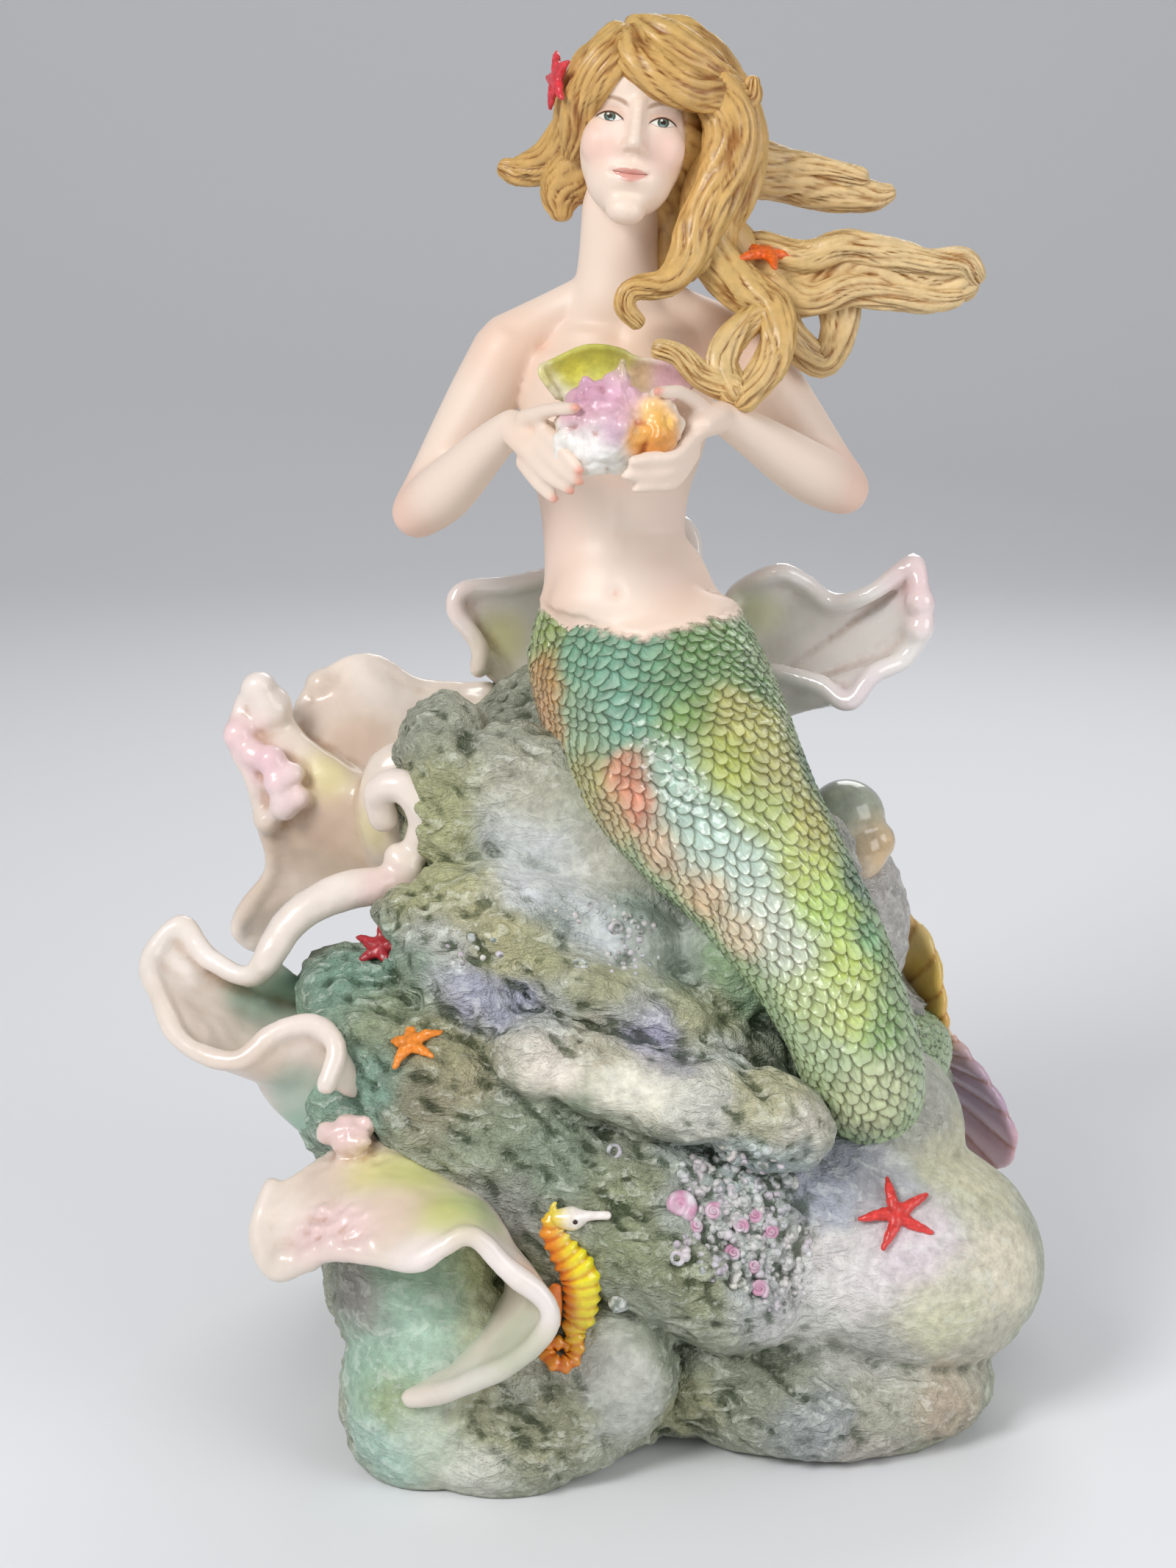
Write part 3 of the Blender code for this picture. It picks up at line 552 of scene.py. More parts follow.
# The bed pressed at the right for the end of the tail and its flukes.
for centre, half, depth in (((118, 36, 110), (24, 26, 26), 9), ((112, 6, 102), (22, 22, 18), 7)):
    places -= normals * (depth * near(places, centre, half))[:, None]
places[:, 2] = np.maximum(places[:, 2], 0)
low, high = np.array(solid_box[0]) / MM, np.array(solid_box[1]) / MM
set_points(rock, np.clip(places, low, high))
places, normals = points_of(rock)
crevice = np.clip(0.8 * dents(rock) + rough * (0.1 - 0.4 * strata - 0.4 * ridges), -1, 0.75)
crevice += crusty * (0.2 - 1.2 * bubbles)
# The grey patch just under the smooth boulder on the right is a painted shadow.
ROCK_STAINS = (
    (593, 1110, 12, 158, 160, 96), (593, 1200, 11, 166, 166, 104), (700, 1085, 11, 164, 160, 138),
    (690, 1140, 10, 198, 202, 204), (740, 1200, 12, 206, 210, 216), (820, 1180, 10, 172, 168, 150),
    (800, 1260, 11, 196, 202, 208), (900, 1270, 9, 150, 158, 150), (867, 1240, 8, 108, 130, 120),
    (760, 1250, 8, 100, 122, 108), (940, 1330, 8, 120, 138, 124), (600, 1287, 9, 206, 206, 200),
    (640, 1240, 9, 172, 166, 110), (690, 1290, 9, 184, 178, 120), (740, 1300, 8, 168, 166, 106),
    (813, 1327, 9, 156, 156, 108), (640, 1350, 8, 168, 170, 200), (700, 1366, 8, 174, 176, 204),
    (740, 1380, 8, 176, 180, 176), (600, 1330, 7, 190, 192, 200), (880, 1413, 7, 156, 150, 186),
    (915, 1447, 6, 134, 132, 152), (845, 1385, 6, 178, 180, 176), (993, 1310, 9, 106, 146, 84),
    (1040, 1340, 9, 116, 156, 112), (1075, 1430, 8, 90, 106, 76), (960, 1373, 9, 170, 170, 124),
    (990, 1433, 7, 192, 196, 192), (735, 1440, 9, 238, 226, 212), (700, 1440, 7, 196, 190, 170),
    (813, 1425, 8, 180, 172, 146), (867, 1473, 9, 232, 226, 208), (960, 1495, 9, 214, 212, 200),
    (1050, 1490, 9, 190, 184, 140), (1095, 1530, 8, 210, 202, 184), (853, 1545, 8, 116, 124, 98),
    (930, 1560, 8, 160, 172, 164), (990, 1580, 9, 186, 200, 200), (1060, 1590, 9, 150, 168, 168),
    (570, 1313, 9, 90, 130, 98), (480, 1327, 11, 88, 146, 122), (520, 1373, 10, 122, 136, 88),
    (600, 1427, 10, 156, 152, 96), (500, 1480, 10, 96, 150, 128), (570, 1490, 9, 134, 124, 88),
    (640, 1480, 9, 164, 152, 108), (673, 1533, 10, 126, 140, 106), (690, 1480, 7, 104, 116, 92),
    (753, 1573, 10, 120, 140, 112), (780, 1520, 8, 108, 124, 96), (853, 1613, 9, 126, 138, 86),
    (687, 1653, 10, 132, 136, 130), (867, 1693, 10, 122, 134, 82), (930, 1640, 8, 160, 168, 160),
    (947, 1747, 10, 134, 140, 88), (880, 1780, 9, 112, 124, 100), (1007, 1680, 11, 206, 212, 208),
    (1020, 1740, 9, 190, 196, 196), (1073, 1770, 10, 208, 206, 210), (1160, 1573, 8, 112, 118, 140),
    (1120, 1620, 9, 150, 156, 178), (1200, 1620, 9, 164, 166, 176), (1260, 1500, 10, 170, 168, 156),
    (1320, 1593, 12, 194, 188, 152), (1240, 1707, 12, 214, 198, 208), (1160, 1727, 12, 220, 212, 212),
    (1100, 1790, 11, 222, 220, 214), (1273, 1793, 12, 200, 196, 160), (1370, 1727, 12, 218, 208, 182),
    (1200, 1835, 11, 164, 162, 158), (1330, 1840, 9, 176, 168, 150), (507, 1860, 12, 122, 168, 142),
    (527, 1905, 8, 132, 150, 76), (587, 1793, 12, 146, 186, 164), (560, 1740, 12, 112, 156, 124),
    (660, 1727, 10, 184, 196, 130), (670, 1800, 10, 202, 208, 170), (520, 1970, 10, 150, 188, 172),
    (590, 1960, 9, 176, 190, 166), (660, 1933, 9, 150, 150, 104), (640, 1993, 8, 206, 206, 192),
    (740, 1947, 9, 140, 140, 96), (700, 1880, 8, 170, 172, 150), (838, 1867, 9, 188, 188, 178),
    (860, 1920, 8, 172, 174, 166), (920, 1840, 9, 106, 120, 88), (1040, 1880, 11, 120, 128, 100),
    (930, 1910, 8, 150, 150, 96), (1107, 1947, 10, 140, 146, 150), (1207, 1907, 10, 172, 170, 150),
    (1287, 1907, 9, 182, 160, 134), (1173, 1985, 9, 166, 156, 146), (495, 1780, 9, 104, 92, 90),
)
stains = spots_on(rock, ROCK_STAINS)
stains += [
    # The ends of the ledges, then the plain back.
    ((-84, -46, 118), (18, 26, 20), (92, 142, 116)),
    ((88, 0, 140), (26, 26, 34), (188, 182, 180)),
    ((0, 96, 60), (100, 50, 80), (128, 136, 110)),
    ((60, 90, 120), (40, 30, 40), (150, 152, 130)),
    ((-60, 80, 110), (40, 30, 30), (116, 132, 104)),
    ((-34, 84, 150), (30, 30, 26), (168, 168, 146)),
    ((30, 70, 196), (30, 26, 22), (176, 176, 164)),
    ((60, 80, 90), (40, 34, 40), (148, 150, 124)),
    ((-60, 80, 60), (30, 30, 34), (140, 150, 138)),
    ((0, 100, 40), (50, 30, 26), (120, 130, 98)),
    ((10, 96, 110), (30, 26, 26), (186, 182, 168)),
    ((90, 60, 50), (30, 34, 30), (178, 170, 172)),
]
colour = washes(places, (150, 154, 130), stains, 0.05, 3.5)
lay_paint(rock, 0.84 * colour + 0.2 * pigment(224, 226, 216))
lay_mask(rock, "hollow", crevice)
lay_mask(rock, "rough", 0.12 + 0.88 * rough)
rock_paint = painted_material(
    "rock paint", 0.48, (300.0, 0.26), ((140, 150, 134), 0.3, 1.35), grain=(1500.0, 0.12)
)
tree = rock_paint.node_tree
shader = tree.nodes["Principled BSDF"]
darkened = shader.inputs["Base Color"].links[0].from_node
math_of = math_in(tree)
uneven = stored(tree, "rough")
carved = add_group(tree, build_carved_clay(), {"Place": place_in(tree), "Scale": 150.0, "Sharpness": 9.0})
groove = math_of("MULTIPLY", carved.outputs["Groove"], uneven)
feed(tree, darkened, {"Hollow": math_of("MULTIPLY_ADD", groove, 0.62, stored(tree, "hollow"))})
# Painted highlight: the raised points of the carving are lightened toward a pale cream.
raised_highlight = math_of("MULTIPLY", ranged(tree, carved.outputs["Height"], 1.05, 1.5), 0.3)
brushed = blend_colours(tree, raised_highlight, darkened.outputs["Colour"], (*pigment(226, 230, 220), 1))
feed(tree, shader, {"Base Color": brushed})
raise_by(tree, shader, 0.9, 0.0012, math_of("MULTIPLY", carved.outputs["Height"], uneven))
rock.data.materials.append(rock_paint)
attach(rock, "root")
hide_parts("mermaid_figurine")


# The leaves on the left. Ruffled sheets of soft clay with a rolled lip and small knobs along it, pressed
# to the rock before firing. Satin ivory and pink outside, washed teal and yellow-green in their throats.
LEAF_GRAIN = 1.25


def smooth_run(rows, steps):
    """Rows of numbers joined by a Catmull-Rom curve, with steps points for each span."""
    rows = np.array(rows, float)
    ends = np.vstack((rows[:1], rows, rows[-1:]))
    t = np.linspace(0, 1, steps, endpoint=False)[:, None]
    run = []
    for a, b, c, d in zip(ends, ends[1:], ends[2:], ends[3:]):
        curve = 2 * b + (c - a) * t + (2 * a - 5 * b + 4 * c - d) * t**2 + (3 * b - a - 3 * c + d) * t**3
        run.append(0.5 * curve)
    run.append(rows[-1:])
    return np.vstack(run)


def roll(rows, steps=6, sides=20, facing=(0, -1, 0), relief=None):
    """A roll of clay through rows of (x, y, z, half width, half depth), with round ends.

    It is a sphere whose rings are set along the way of the rows. A relief takes how far along, the angle
    and the radius, and gives how far to raise the clay there and how dark its hollows are.
    """
    run = smooth_run([tuple(row) if len(row) == 5 else (*row, row[3]) for row in rows], steps)
    middle = run[:, :3]
    along = unit(np.gradient(middle, axis=0))
    depth_way = np.empty_like(along)
    way = np.array(facing, float)
    for k, ahead in enumerate(along):
        way = unit(way - ahead * way.dot(ahead))
        depth_way[k] = way
    width_way = np.cross(along, depth_way)
    lengths = np.concatenate(([0], np.cumsum(np.linalg.norm(np.diff(middle, axis=0), axis=1))))
    last = len(run) - 1
    rings = [(0, -1), (0, -0.8), (0, -0.45), *((k, 0) for k in range(last + 1))]
    rings += [(last, 0.45), (last, 0.8), (last, 1)]
    bpy.ops.object.select_all(action="DESELECT")
    bpy.ops.mesh.primitive_uv_sphere_add(segments=sides, ring_count=len(rings) - 1, radius=1)
    piece = bpy.context.object
    ball = np.empty(len(piece.data.vertices) * 3)
    piece.data.vertices.foreach_get("co", ball)
    ball = ball.reshape(-1, 3)
    down = np.arccos(np.clip(ball[:, 2], -1, 1)) / math.pi
    ring_number = np.rint(down * (len(rings) - 1)).astype(int)
    angle = np.arctan2(ball[:, 1], ball[:, 0])
    spot = np.array([k for k, _ in rings])[ring_number]
    share = np.array([share for _, share in rings])[ring_number]
    shrink = np.sqrt(np.maximum(1 - share**2, 0))
    half_width, half_depth = run[spot, 3], run[spot, 4]
    offset = width_way[spot] * (half_width * np.cos(angle))[:, None]
    offset += depth_way[spot] * (half_depth * np.sin(angle))[:, None]
    centre = middle[spot] + along[spot] * (share * np.minimum(half_width, half_depth))[:, None]
    hollow = np.zeros(len(spot))
    if relief:
        lift, hollow = relief(lengths[spot], angle, (half_width + half_depth) / 2)
        offset += unit(offset) * (lift * shrink)[:, None]
    set_points(piece, centre + offset * shrink[:, None])
    lay_mask(piece, "hollow", hollow)
    bpy.ops.object.shade_smooth()
    return piece


def leaf(stations, lip=3.3, thickness=4.0, steps=9, ribs=18):
    """A ruffled leaf: each station is (rim, throat, root), and the rim is rolled into a thicker lip."""
    flat = smooth_run([rim + throat + root for rim, throat, root in stations], steps)
    bpy.ops.object.select_all(action="DESELECT")
    bpy.ops.mesh.primitive_grid_add(x_subdivisions=len(flat) - 1, y_subdivisions=ribs, size=1)
    sheet = bpy.context.object
    places = np.empty(len(sheet.data.vertices) * 3)
    sheet.data.vertices.foreach_get("co", places)
    places = places.reshape(-1, 3)
    row = np.rint((places[:, 0] + 0.5) * (len(flat) - 1)).astype(int)
    t = (places[:, 1] + 0.5)[:, None]
    rim, throat, root = flat[row, 0:3], flat[row, 3:6], flat[row, 6:9]
    set_points(sheet, rim * (1 - t) ** 2 + throat * 2 * t * (1 - t) + root * t**2)
    thick = sheet.modifiers.new("thick", "SOLIDIFY")
    thick.thickness = thickness * MM
    thick.offset = 0
    bpy.ops.object.modifier_apply(modifier=thick.name)
    edge = np.column_stack((flat[:, :3], np.full(len(flat), lip)))
    return [sheet, roll(edge, steps=1, sides=16, facing=(0.1, 0.2, 1.0))]


UPPER_LEFT = (
    ((-34, 34, 216), (-34, 30, 210), (-28, 20, 203)),
    ((-54, 36, 216), (-52, 24, 206), (-36, 16, 196)),
    ((-75, 33, 226), (-68, 18, 206), (-44, 8, 192)),
    ((-93, 28, 214), (-78, 10, 202), (-48, 0, 190)),
    ((-96, 18, 203), (-82, 4, 198), (-50, -4, 186)),
    ((-106, 10, 223), (-94, 2, 198), (-52, -8, 182)),
    ((-113, 4, 208), (-94, 0, 190), (-54, -10, 178)),
    ((-107, -2, 192), (-88, 0, 182), (-54, -12, 172)),
    ((-104, 2, 177), (-88, 2, 172), (-54, -14, 166)),
    ((-103, 8, 161), (-90, 6, 160), (-54, -12, 162)),
    ((-116, 16, 140), (-96, 14, 149), (-54, -4, 158)),
    ((-110, 20, 132), (-92, 18, 146), (-52, 4, 156)),
)
MIDDLE_LEFT = (
    ((-98, -47, 150), (-92, -34, 134), (-62, -28, 128)),
    ((-104, -47, 142), (-94, -30, 130), (-60, -26, 126)),
    ((-117, -42, 146), (-99, -28, 126), (-58, -26, 122)),
    ((-127, -38, 156), (-104, -30, 124), (-58, -30, 118)),
    ((-136, -45, 146), (-106, -38, 120), (-58, -36, 114)),
    ((-130, -60, 138), (-102, -48, 116), (-58, -44, 110)),
    ((-121, -73, 129), (-98, -56, 110), (-58, -50, 106)),
    ((-105, -80, 126), (-90, -62, 108), (-56, -56, 104)),
    ((-95, -77, 133), (-84, -64, 108), (-54, -60, 102)),
    ((-83, -75, 136), (-76, -66, 110), (-52, -62, 102)),
    ((-75, -78, 130), (-68, -68, 110), (-50, -62, 102)),
    ((-78, -84, 120), (-68, -72, 108), (-50, -64, 102)),
)
LOWER_LEFT = (
    ((-94, -90, 90), (-82, -82, 96), (-66, -66, 98)),
    ((-97, -100, 79), (-82, -92, 95), (-62, -68, 102)),
    ((-91, -110, 72), (-77, -98, 96), (-60, -70, 102)),
    ((-84, -112, 75), (-72, -102, 96), (-56, -74, 100)),
    ((-75, -114, 80), (-66, -106, 97), (-52, -76, 98)),
    ((-60, -120, 81), (-56, -110, 98), (-48, -78, 94)),
    ((-49, -126, 82), (-48, -114, 98), (-42, -82, 90)),
    ((-41, -127, 87), (-40, -112, 98), (-36, -84, 86)),
    ((-33, -126, 90), (-32, -110, 94), (-30, -86, 82)),
    ((-23, -127, 80), (-24, -110, 84), (-26, -88, 74)),
    ((-12, -128, 71), (-18, -110, 74), (-24, -90, 66)),
    ((-11, -129, 63), (-18, -110, 64), (-24, -92, 58)),
    ((-21, -127, 52), (-26, -110, 54), (-30, -94, 50)),
    ((-38, -122, 41), (-38, -108, 44), (-38, -92, 44)),
    ((-52, -114, 34), (-48, -104, 38), (-44, -90, 40)),
)
clay = leaf(UPPER_LEFT) + leaf(MIDDLE_LEFT) + leaf(LOWER_LEFT)
for place, radius in (
    ((-106, 6, 222), 6),
    ((-103, 7, 215), 8),
    ((-112, 2, 208), 5.5),
    ((-107, -2, 202), 4.5),
    ((-101, -5, 201), 5),
    ((-99, -7, 194), 5),
    ((-94, -6, 197), 4),
    ((-97, -7, 187), 5.5),
    ((-92, -7, 189), 4),
    ((-103, -3, 181), 5),
    ((-88, 30, 218), 6),
    ((-78, -82, 104), 3.6),
    ((-72, -81, 106), 4),
    ((-67, -81, 106), 3.6),
    ((-73, -85, 102), 3.6),
    ((-68, -86, 103), 3.2),
    ((-88, -110, 75), 4.5),
    ((-81, -112, 77), 4.2),
    ((-74, -113, 81), 4.5),
    ((-68, -115, 81), 3.8),
    ((-62, -117, 83), 4),
):
    clay.append(lump(place, (radius,) * 3))
# The ear curl, the arch over the opening with its curled end, and the drape under the middle leaf.
CURL = (
    (-64, -24, 187, 5),
    (-65, -28, 196, 5),
    (-57, -31, 199, 5.2),
    (-51, -31, 189, 5.2),
    (-53, -27, 177, 5),
)
ARCH_END = ((-60, -30, 176, 4.5), (-56, -31, 171, 5), (-57, -30, 163, 5))
ARCH = (
    (-52, -26, 160, 5.5),
    (-63, -32, 167, 6),
    (-80, -38, 165, 6),
    (-93, -43, 157, 5.6),
    (-100, -47, 146, 4.5),
)
DRAPE = ((-96, -66, 124, 9, 5), (-90, -64, 112, 10, 6), (-80, -62, 100, 9, 6))
clay += [roll(CURL), lump((-60, -8, 186), (14, 9, 22)), roll(ARCH_END), roll(ARCH)]
clay.append(roll(DRAPE, facing=(-0.4, -1, 0)))
# The front leaf lies folded like a horn: its far side closes on the rock at the left.
left_leaves = skinned(joined(clay, "left_leaves"), LEAF_GRAIN, 7)
places, normals = points_of(left_leaves)
swell = 0.8 * lumpy(places, 13, 5.0) + 0.25 * lumpy(places, 5, 9.0)
for across, down, reach in ((480, 1545, 11), (505, 1572, 9), (425, 1665, 7), (440, 1660, 9), (470, 1668, 9)):
    spot = seen(tree_of(left_leaves), across, down)[0]
    bubbly = np.clip(lumpy(places, 3.0, across), -0.1, 1)
    swell += 2.4 * bubbly * near(places, spot, (reach,) * 3)
set_points(left_leaves, np.clip(places + normals * swell[:, None], low, high))
places, normals = points_of(left_leaves)
LEFT_LEAF_STAINS = (
    (345, 925, 9, 240, 228, 220), (320, 1000, 7, 240, 206, 208), (360, 1040, 7, 238, 198, 206),
    (395, 1075, 8, 240, 214, 216), (450, 960, 9, 226, 206, 190), (520, 930, 9, 238, 226, 216),
    (440, 1060, 7, 224, 212, 150), (480, 1010, 10, 206, 180, 158), (400, 1150, 10, 208, 180, 156),
    (450, 1120, 10, 204, 174, 150), (470, 1180, 11, 200, 174, 146), (370, 1230, 10, 216, 194, 174),
    (500, 1130, 6, 222, 210, 160), (520, 1070, 8, 240, 226, 216), (560, 1110, 8, 238, 226, 214),
    (520, 1215, 7, 232, 204, 198), (440, 1225, 10, 240, 228, 218), (385, 1290, 9, 238, 226, 216),
    (220, 1290, 9, 238, 228, 220), (290, 1310, 9, 240, 232, 226), (270, 1390, 10, 232, 216, 204),
    (345, 1350, 7, 150, 176, 158), (390, 1340, 9, 104, 150, 130), (440, 1345, 9, 96, 144, 124),
    (330, 1450, 9, 226, 208, 194), (410, 1400, 8, 238, 224, 214), (440, 1470, 7, 236, 224, 214),
    (400, 1480, 7, 176, 196, 180), (420, 1540, 9, 140, 182, 162), (475, 1545, 8, 240, 204, 202),
    (400, 1640, 9, 234, 220, 208), (430, 1665, 8, 240, 206, 204), (480, 1670, 7, 240, 210, 206),
    (440, 1610, 9, 222, 200, 182), (500, 1590, 8, 214, 206, 132), (560, 1600, 9, 206, 208, 124),
    (610, 1640, 9, 208, 212, 116), (540, 1640, 10, 220, 196, 176), (645, 1640, 8, 190, 204, 150),
    (570, 1715, 7, 244, 232, 226), (690, 1710, 6, 244, 234, 230), (740, 1770, 6, 240, 232, 228),
    (600, 1770, 14, 118, 164, 138), (660, 1740, 8, 150, 170, 120), (540, 1830, 14, 124, 172, 148),
    (700, 1830, 10, 200, 204, 180), (640, 1880, 8, 226, 222, 210),
)
stains = spots_on(left_leaves, LEFT_LEAF_STAINS)
lay_paint(left_leaves, washes(places, (234, 220, 206), stains, 0.14))
lay_mask(left_leaves, "hollow", dents(left_leaves))
left_leaves.data.materials.append(
    painted_material(
        "left leaf paint",
        0.3,
        (45.0, 0.1),
        ((222, 206, 190), 0.1, 1.1),
        grain=(500.0, 0.1),
        bump=0.08,
        coat=0.35,
    )
)
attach(left_leaves, "root")
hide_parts("mermaid_figurine")


# The leaves at the back. Ruffled sheets of soft clay like those on the left, pressed to the rock behind
# the figure and left white under a thick clear glaze.
REAR_LEFT = (
    ((-36, 28, 224), (-30, 36, 218), (-20, 34, 206)),
    ((-36, 30, 232), (-30, 38, 224), (-20, 34, 206)),
    ((-44, 32, 243), (-34, 40, 228), (-20, 36, 206)),
    ((-40, 34, 250), (-30, 42, 230), (-16, 38, 206)),
    ((-24, 36, 251), (-20, 46, 232), (-8, 42, 206)),
    ((-4, 42, 256), (-4, 50, 234), (2, 44, 206)),
    ((16, 46, 264), (12, 52, 236), (10, 44, 206)),
    ((30, 44, 270), (22, 52, 238), (16, 42, 206)),
    ((35, 42, 263), (28, 50, 236), (20, 40, 206)),
    ((34, 40, 254), (30, 48, 232), (22, 38, 206)),
)
REAR_RIGHT = (
    ((36, 40, 236), (34, 44, 226), (24, 36, 200)),
    ((45, 34, 242), (42, 44, 232), (30, 36, 204)),
    ((50, 32, 250), (46, 42, 236), (32, 34, 206)),
    ((57, 26, 255), (52, 42, 238), (34, 34, 206)),
    ((64, 24, 257), (58, 42, 238), (36, 32, 206)),
    ((71, 26, 253), (62, 42, 236), (38, 32, 206)),
    ((80, 24, 247), (70, 42, 234), (38, 30, 206)),
    ((91, 18, 251), (78, 40, 234), (40, 30, 206)),
    ((105, 20, 260), (84, 40, 234), (40, 30, 204)),
    ((107, 14, 250), (84, 36, 230), (40, 30, 202)),
    ((108, 14, 240), (84, 34, 226), (40, 28, 200)),
    ((102, 14, 230), (80, 32, 222), (40, 28, 198)),
    ((92, 10, 226), (74, 32, 220), (40, 26, 196)),
    ((84, 8, 217), (68, 28, 216), (40, 24, 194)),
    ((75, 14, 222), (62, 28, 216), (38, 24, 192)),
    ((60, 20, 225), (52, 26, 212), (34, 24, 190)),
)
clay = leaf(REAR_LEFT) + leaf(REAR_RIGHT)
for knob in ((105, 20, 259), (107, 14, 249), (107, 14, 240)):
    clay.append(lump(knob, (4.8, 4.8, 4.8)))
rear_leaves = skinned(joined(clay, "rear_leaves"), LEAF_GRAIN, 8)
places, normals = points_of(rear_leaves)
set_points(rear_leaves, np.clip(places + normals * (0.7 * lumpy(places, 14, 2.0))[:, None], low, high))
places, normals = points_of(rear_leaves)
REAR_LEAF_STAINS = (
    (1250, 790, 8, 240, 208, 210), (1254, 830, 7, 240, 216, 216), (1030, 835, 7, 222, 222, 180),
    (1180, 960, 9, 232, 216, 220), (610, 820, 8, 240, 220, 212), (680, 870, 8, 216, 214, 150),
    (660, 900, 9, 226, 208, 186),
)
stains = spots_on(rear_leaves, REAR_LEAF_STAINS)
lay_paint(rear_leaves, washes(places, (238, 232, 228), stains, 0.25))
lay_mask(rear_leaves, "hollow", dents(rear_leaves))
rear_leaves.data.materials.append(
    painted_material(
        "clear glaze",
        0.2,
        (40.0, 0.05),
        ((222, 208, 202), 0.1, 1.1),
        grain=(420.0, 0.15),
        coat=1.0,
    )
)
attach(rear_leaves, "root")
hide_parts("mermaid_figurine")


# The flukes at the tail's end. Two thin sheets of clay, ribbed with a tool from their root to their rim
# and joined on with slip, one painted yellow and one lilac, and glazed.
FLUKES = (
    (
        ((108, 34, 138), (104, 46, 112), (112, 52, 88)),
        ((116, 26, 128), (108, 42, 108), (112, 52, 88)),
        ((120, 20, 104), (112, 38, 98), (113, 54, 87)),
        ((122, 34, 96), (116, 44, 92), (114, 56, 86)),
    ),
    (
        ((126, 40, 92), (120, 46, 90), (113, 54, 88)),
        ((140, 34, 74), (128, 46, 80), (113, 56, 86)),
        ((147, 34, 56), (132, 50, 70), (113, 60, 84)),
        ((142, 48, 42), (128, 58, 62), (112, 62, 82)),
        ((124, 62, 44), (118, 66, 60), (110, 62, 80)),
    ),
)
clay = []
for stations in FLUKES:
    clay += leaf(stations, lip=2.0, thickness=4.0, steps=14)
flukes = skinned(joined(clay, "flukes"), 1.0, 5)
places, normals = points_of(flukes)
spread = np.arctan2(places[:, 2] - 86, places[:, 0] - 96)
ribs = np.abs(np.sin(spread * 17))
set_points(flukes, np.clip(places + normals * (0.9 * (ribs - 0.6))[:, None], low, high))
places, normals = points_of(flukes)
lay_paint(
    flukes,
    washes(
        places,
        (226, 190, 190),
        (
            ((118, 26, 122), (16, 22, 18), (236, 196, 70)),
            ((116, 24, 134), (8, 14, 8), (238, 214, 150)),
            ((120, 24, 102), (8, 14, 8), (232, 170, 60)),
            ((138, 36, 70), (12, 16, 14), (196, 170, 196)),
            ((144, 38, 56), (10, 16, 12), (226, 178, 188)),
        ),
    ),
)
lay_mask(flukes, "hollow", 0.7 - 1.1 * ribs)
flukes.data.materials.append(
    painted_material(
        "fluke paint",
        0.3,
        (80.0, 0.14),
        ((214, 170, 130), 0.1, 1.0),
        grain=(420.0, 0.15),
        coat=0.6,
    )
)
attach(flukes, "root")
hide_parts("mermaid_figurine")


# The tail. A tapering roll over the rock, pressed with overlapping fish scales, painted from teal at the
# waist through green and yellow to pale blue and lime, with a coral flush, and glazed to a satin shine.
# Each scale has a painted shadow line under its edge and a painted highlight as it rises, and the
# bluish white down the middle of the bend is partly a painted highlight.
SCALE_ROW = 3.1
SCALE_WIDTH = 4.8
SKIN = (239, 217, 200)
TAIL = (
    # Centre, half width and half depth: down over the rock, back under the bend, round to the flukes.
    (10.5, 5, 256, 24.5, 17),
    (11.5, 4.5, 250, 28.6, 20.4),
    (13, 3, 243, 32.2, 23.4),
    (14.8, 1, 237, 35, 25.4),
    (22, -17, 222, 36.5, 26),
    (31, -34, 207, 34.5, 26),
    (42, -48, 192, 30, 25),
    (56, -58, 174, 25, 23),
    (69, -64, 154, 22, 21),
    (78, -66, 135, 19.5, 19.5),
    (84, -62, 117, 18.5, 18.5),
    (87, -48, 104, 17.5, 17.5),
    (92, -26, 98, 16.5, 16.5),
    (104, 0, 98, 14.5, 14.5),
    (110, 22, 96, 12.5, 12.5),
    (112, 44, 92, 9, 9),
    (114, 58, 86, 7, 7),
)
tail_map = {}


def waist_at(places):
    """The height at each place where the skin ends and the painter's scales begin."""
    return 249.5 - 4.5 * near(places, (14, -22, 247), (16, 30, 30)) + 1.2 * lumpy(places, 5, 4.0)


def scale_relief(along, angle, radius):
    """Overlapping scales in rows: each rises from under the row above to its own round edge."""
    across = (np.mod(angle - math.pi / 2 + math.pi, math.tau) - math.pi) * radius
    spread = np.column_stack((radius * np.cos(angle), radius * np.sin(angle), along))
    along = along + 1.9 * lumpy(spread, 9, 3.0) + 1.1 * lumpy(spread, 4.5, 8.0)
    across = across + 2.4 * lumpy(spread, 10, 5.0) + 1.3 * lumpy(spread, 4.5, 1.0)
    rows = along / SCALE_ROW
    row = np.floor(rows)
    part = rows - row
    crest = []
    for shift in (0, 1):
        aside = 2 * np.mod(across / SCALE_WIDTH + 0.5 * (row + shift), 1) - 1
        crest.append(0.95 * np.sqrt(np.maximum(1 - aside**2, 0)))
    under = part > crest[0]
    past = (part - crest[0]) / (1 + crest[1] - crest[0])
    before = (part + 1 - crest[1]) / (1 + crest[0] - crest[1])
    rise = np.where(under, past, before)
    fade = np.clip((along - 2) / 4, 0, 1) * np.clip(radius / 12, 0.5, 1)
    tail_map["across"], tail_map["along"], tail_map["fade"] = across, along, fade
    return 0.85 * fade * (np.clip(rise, 0, 1) ** 0.8 - 0.4), np.zeros(len(along))


tail = roll(TAIL, steps=23, sides=220, relief=scale_relief)
tail.name = "tail"
places, normals = points_of(tail)
# Above the painter's line the tail runs in under the skin of the belly.
sunk = 1.6 * np.clip((places[:, 2] - waist_at(places) - 0.8) / 3, 0, 1)
places[:, :2] -= sunk[:, None] * unit(places[:, :2] - (12, 3))
set_points(tail, np.clip(places, low, high))
places, normals = points_of(tail)
lay_mask(tail, "across", tail_map["across"])
lay_mask(tail, "along", tail_map["along"])
lay_mask(tail, "scaled", tail_map["fade"])
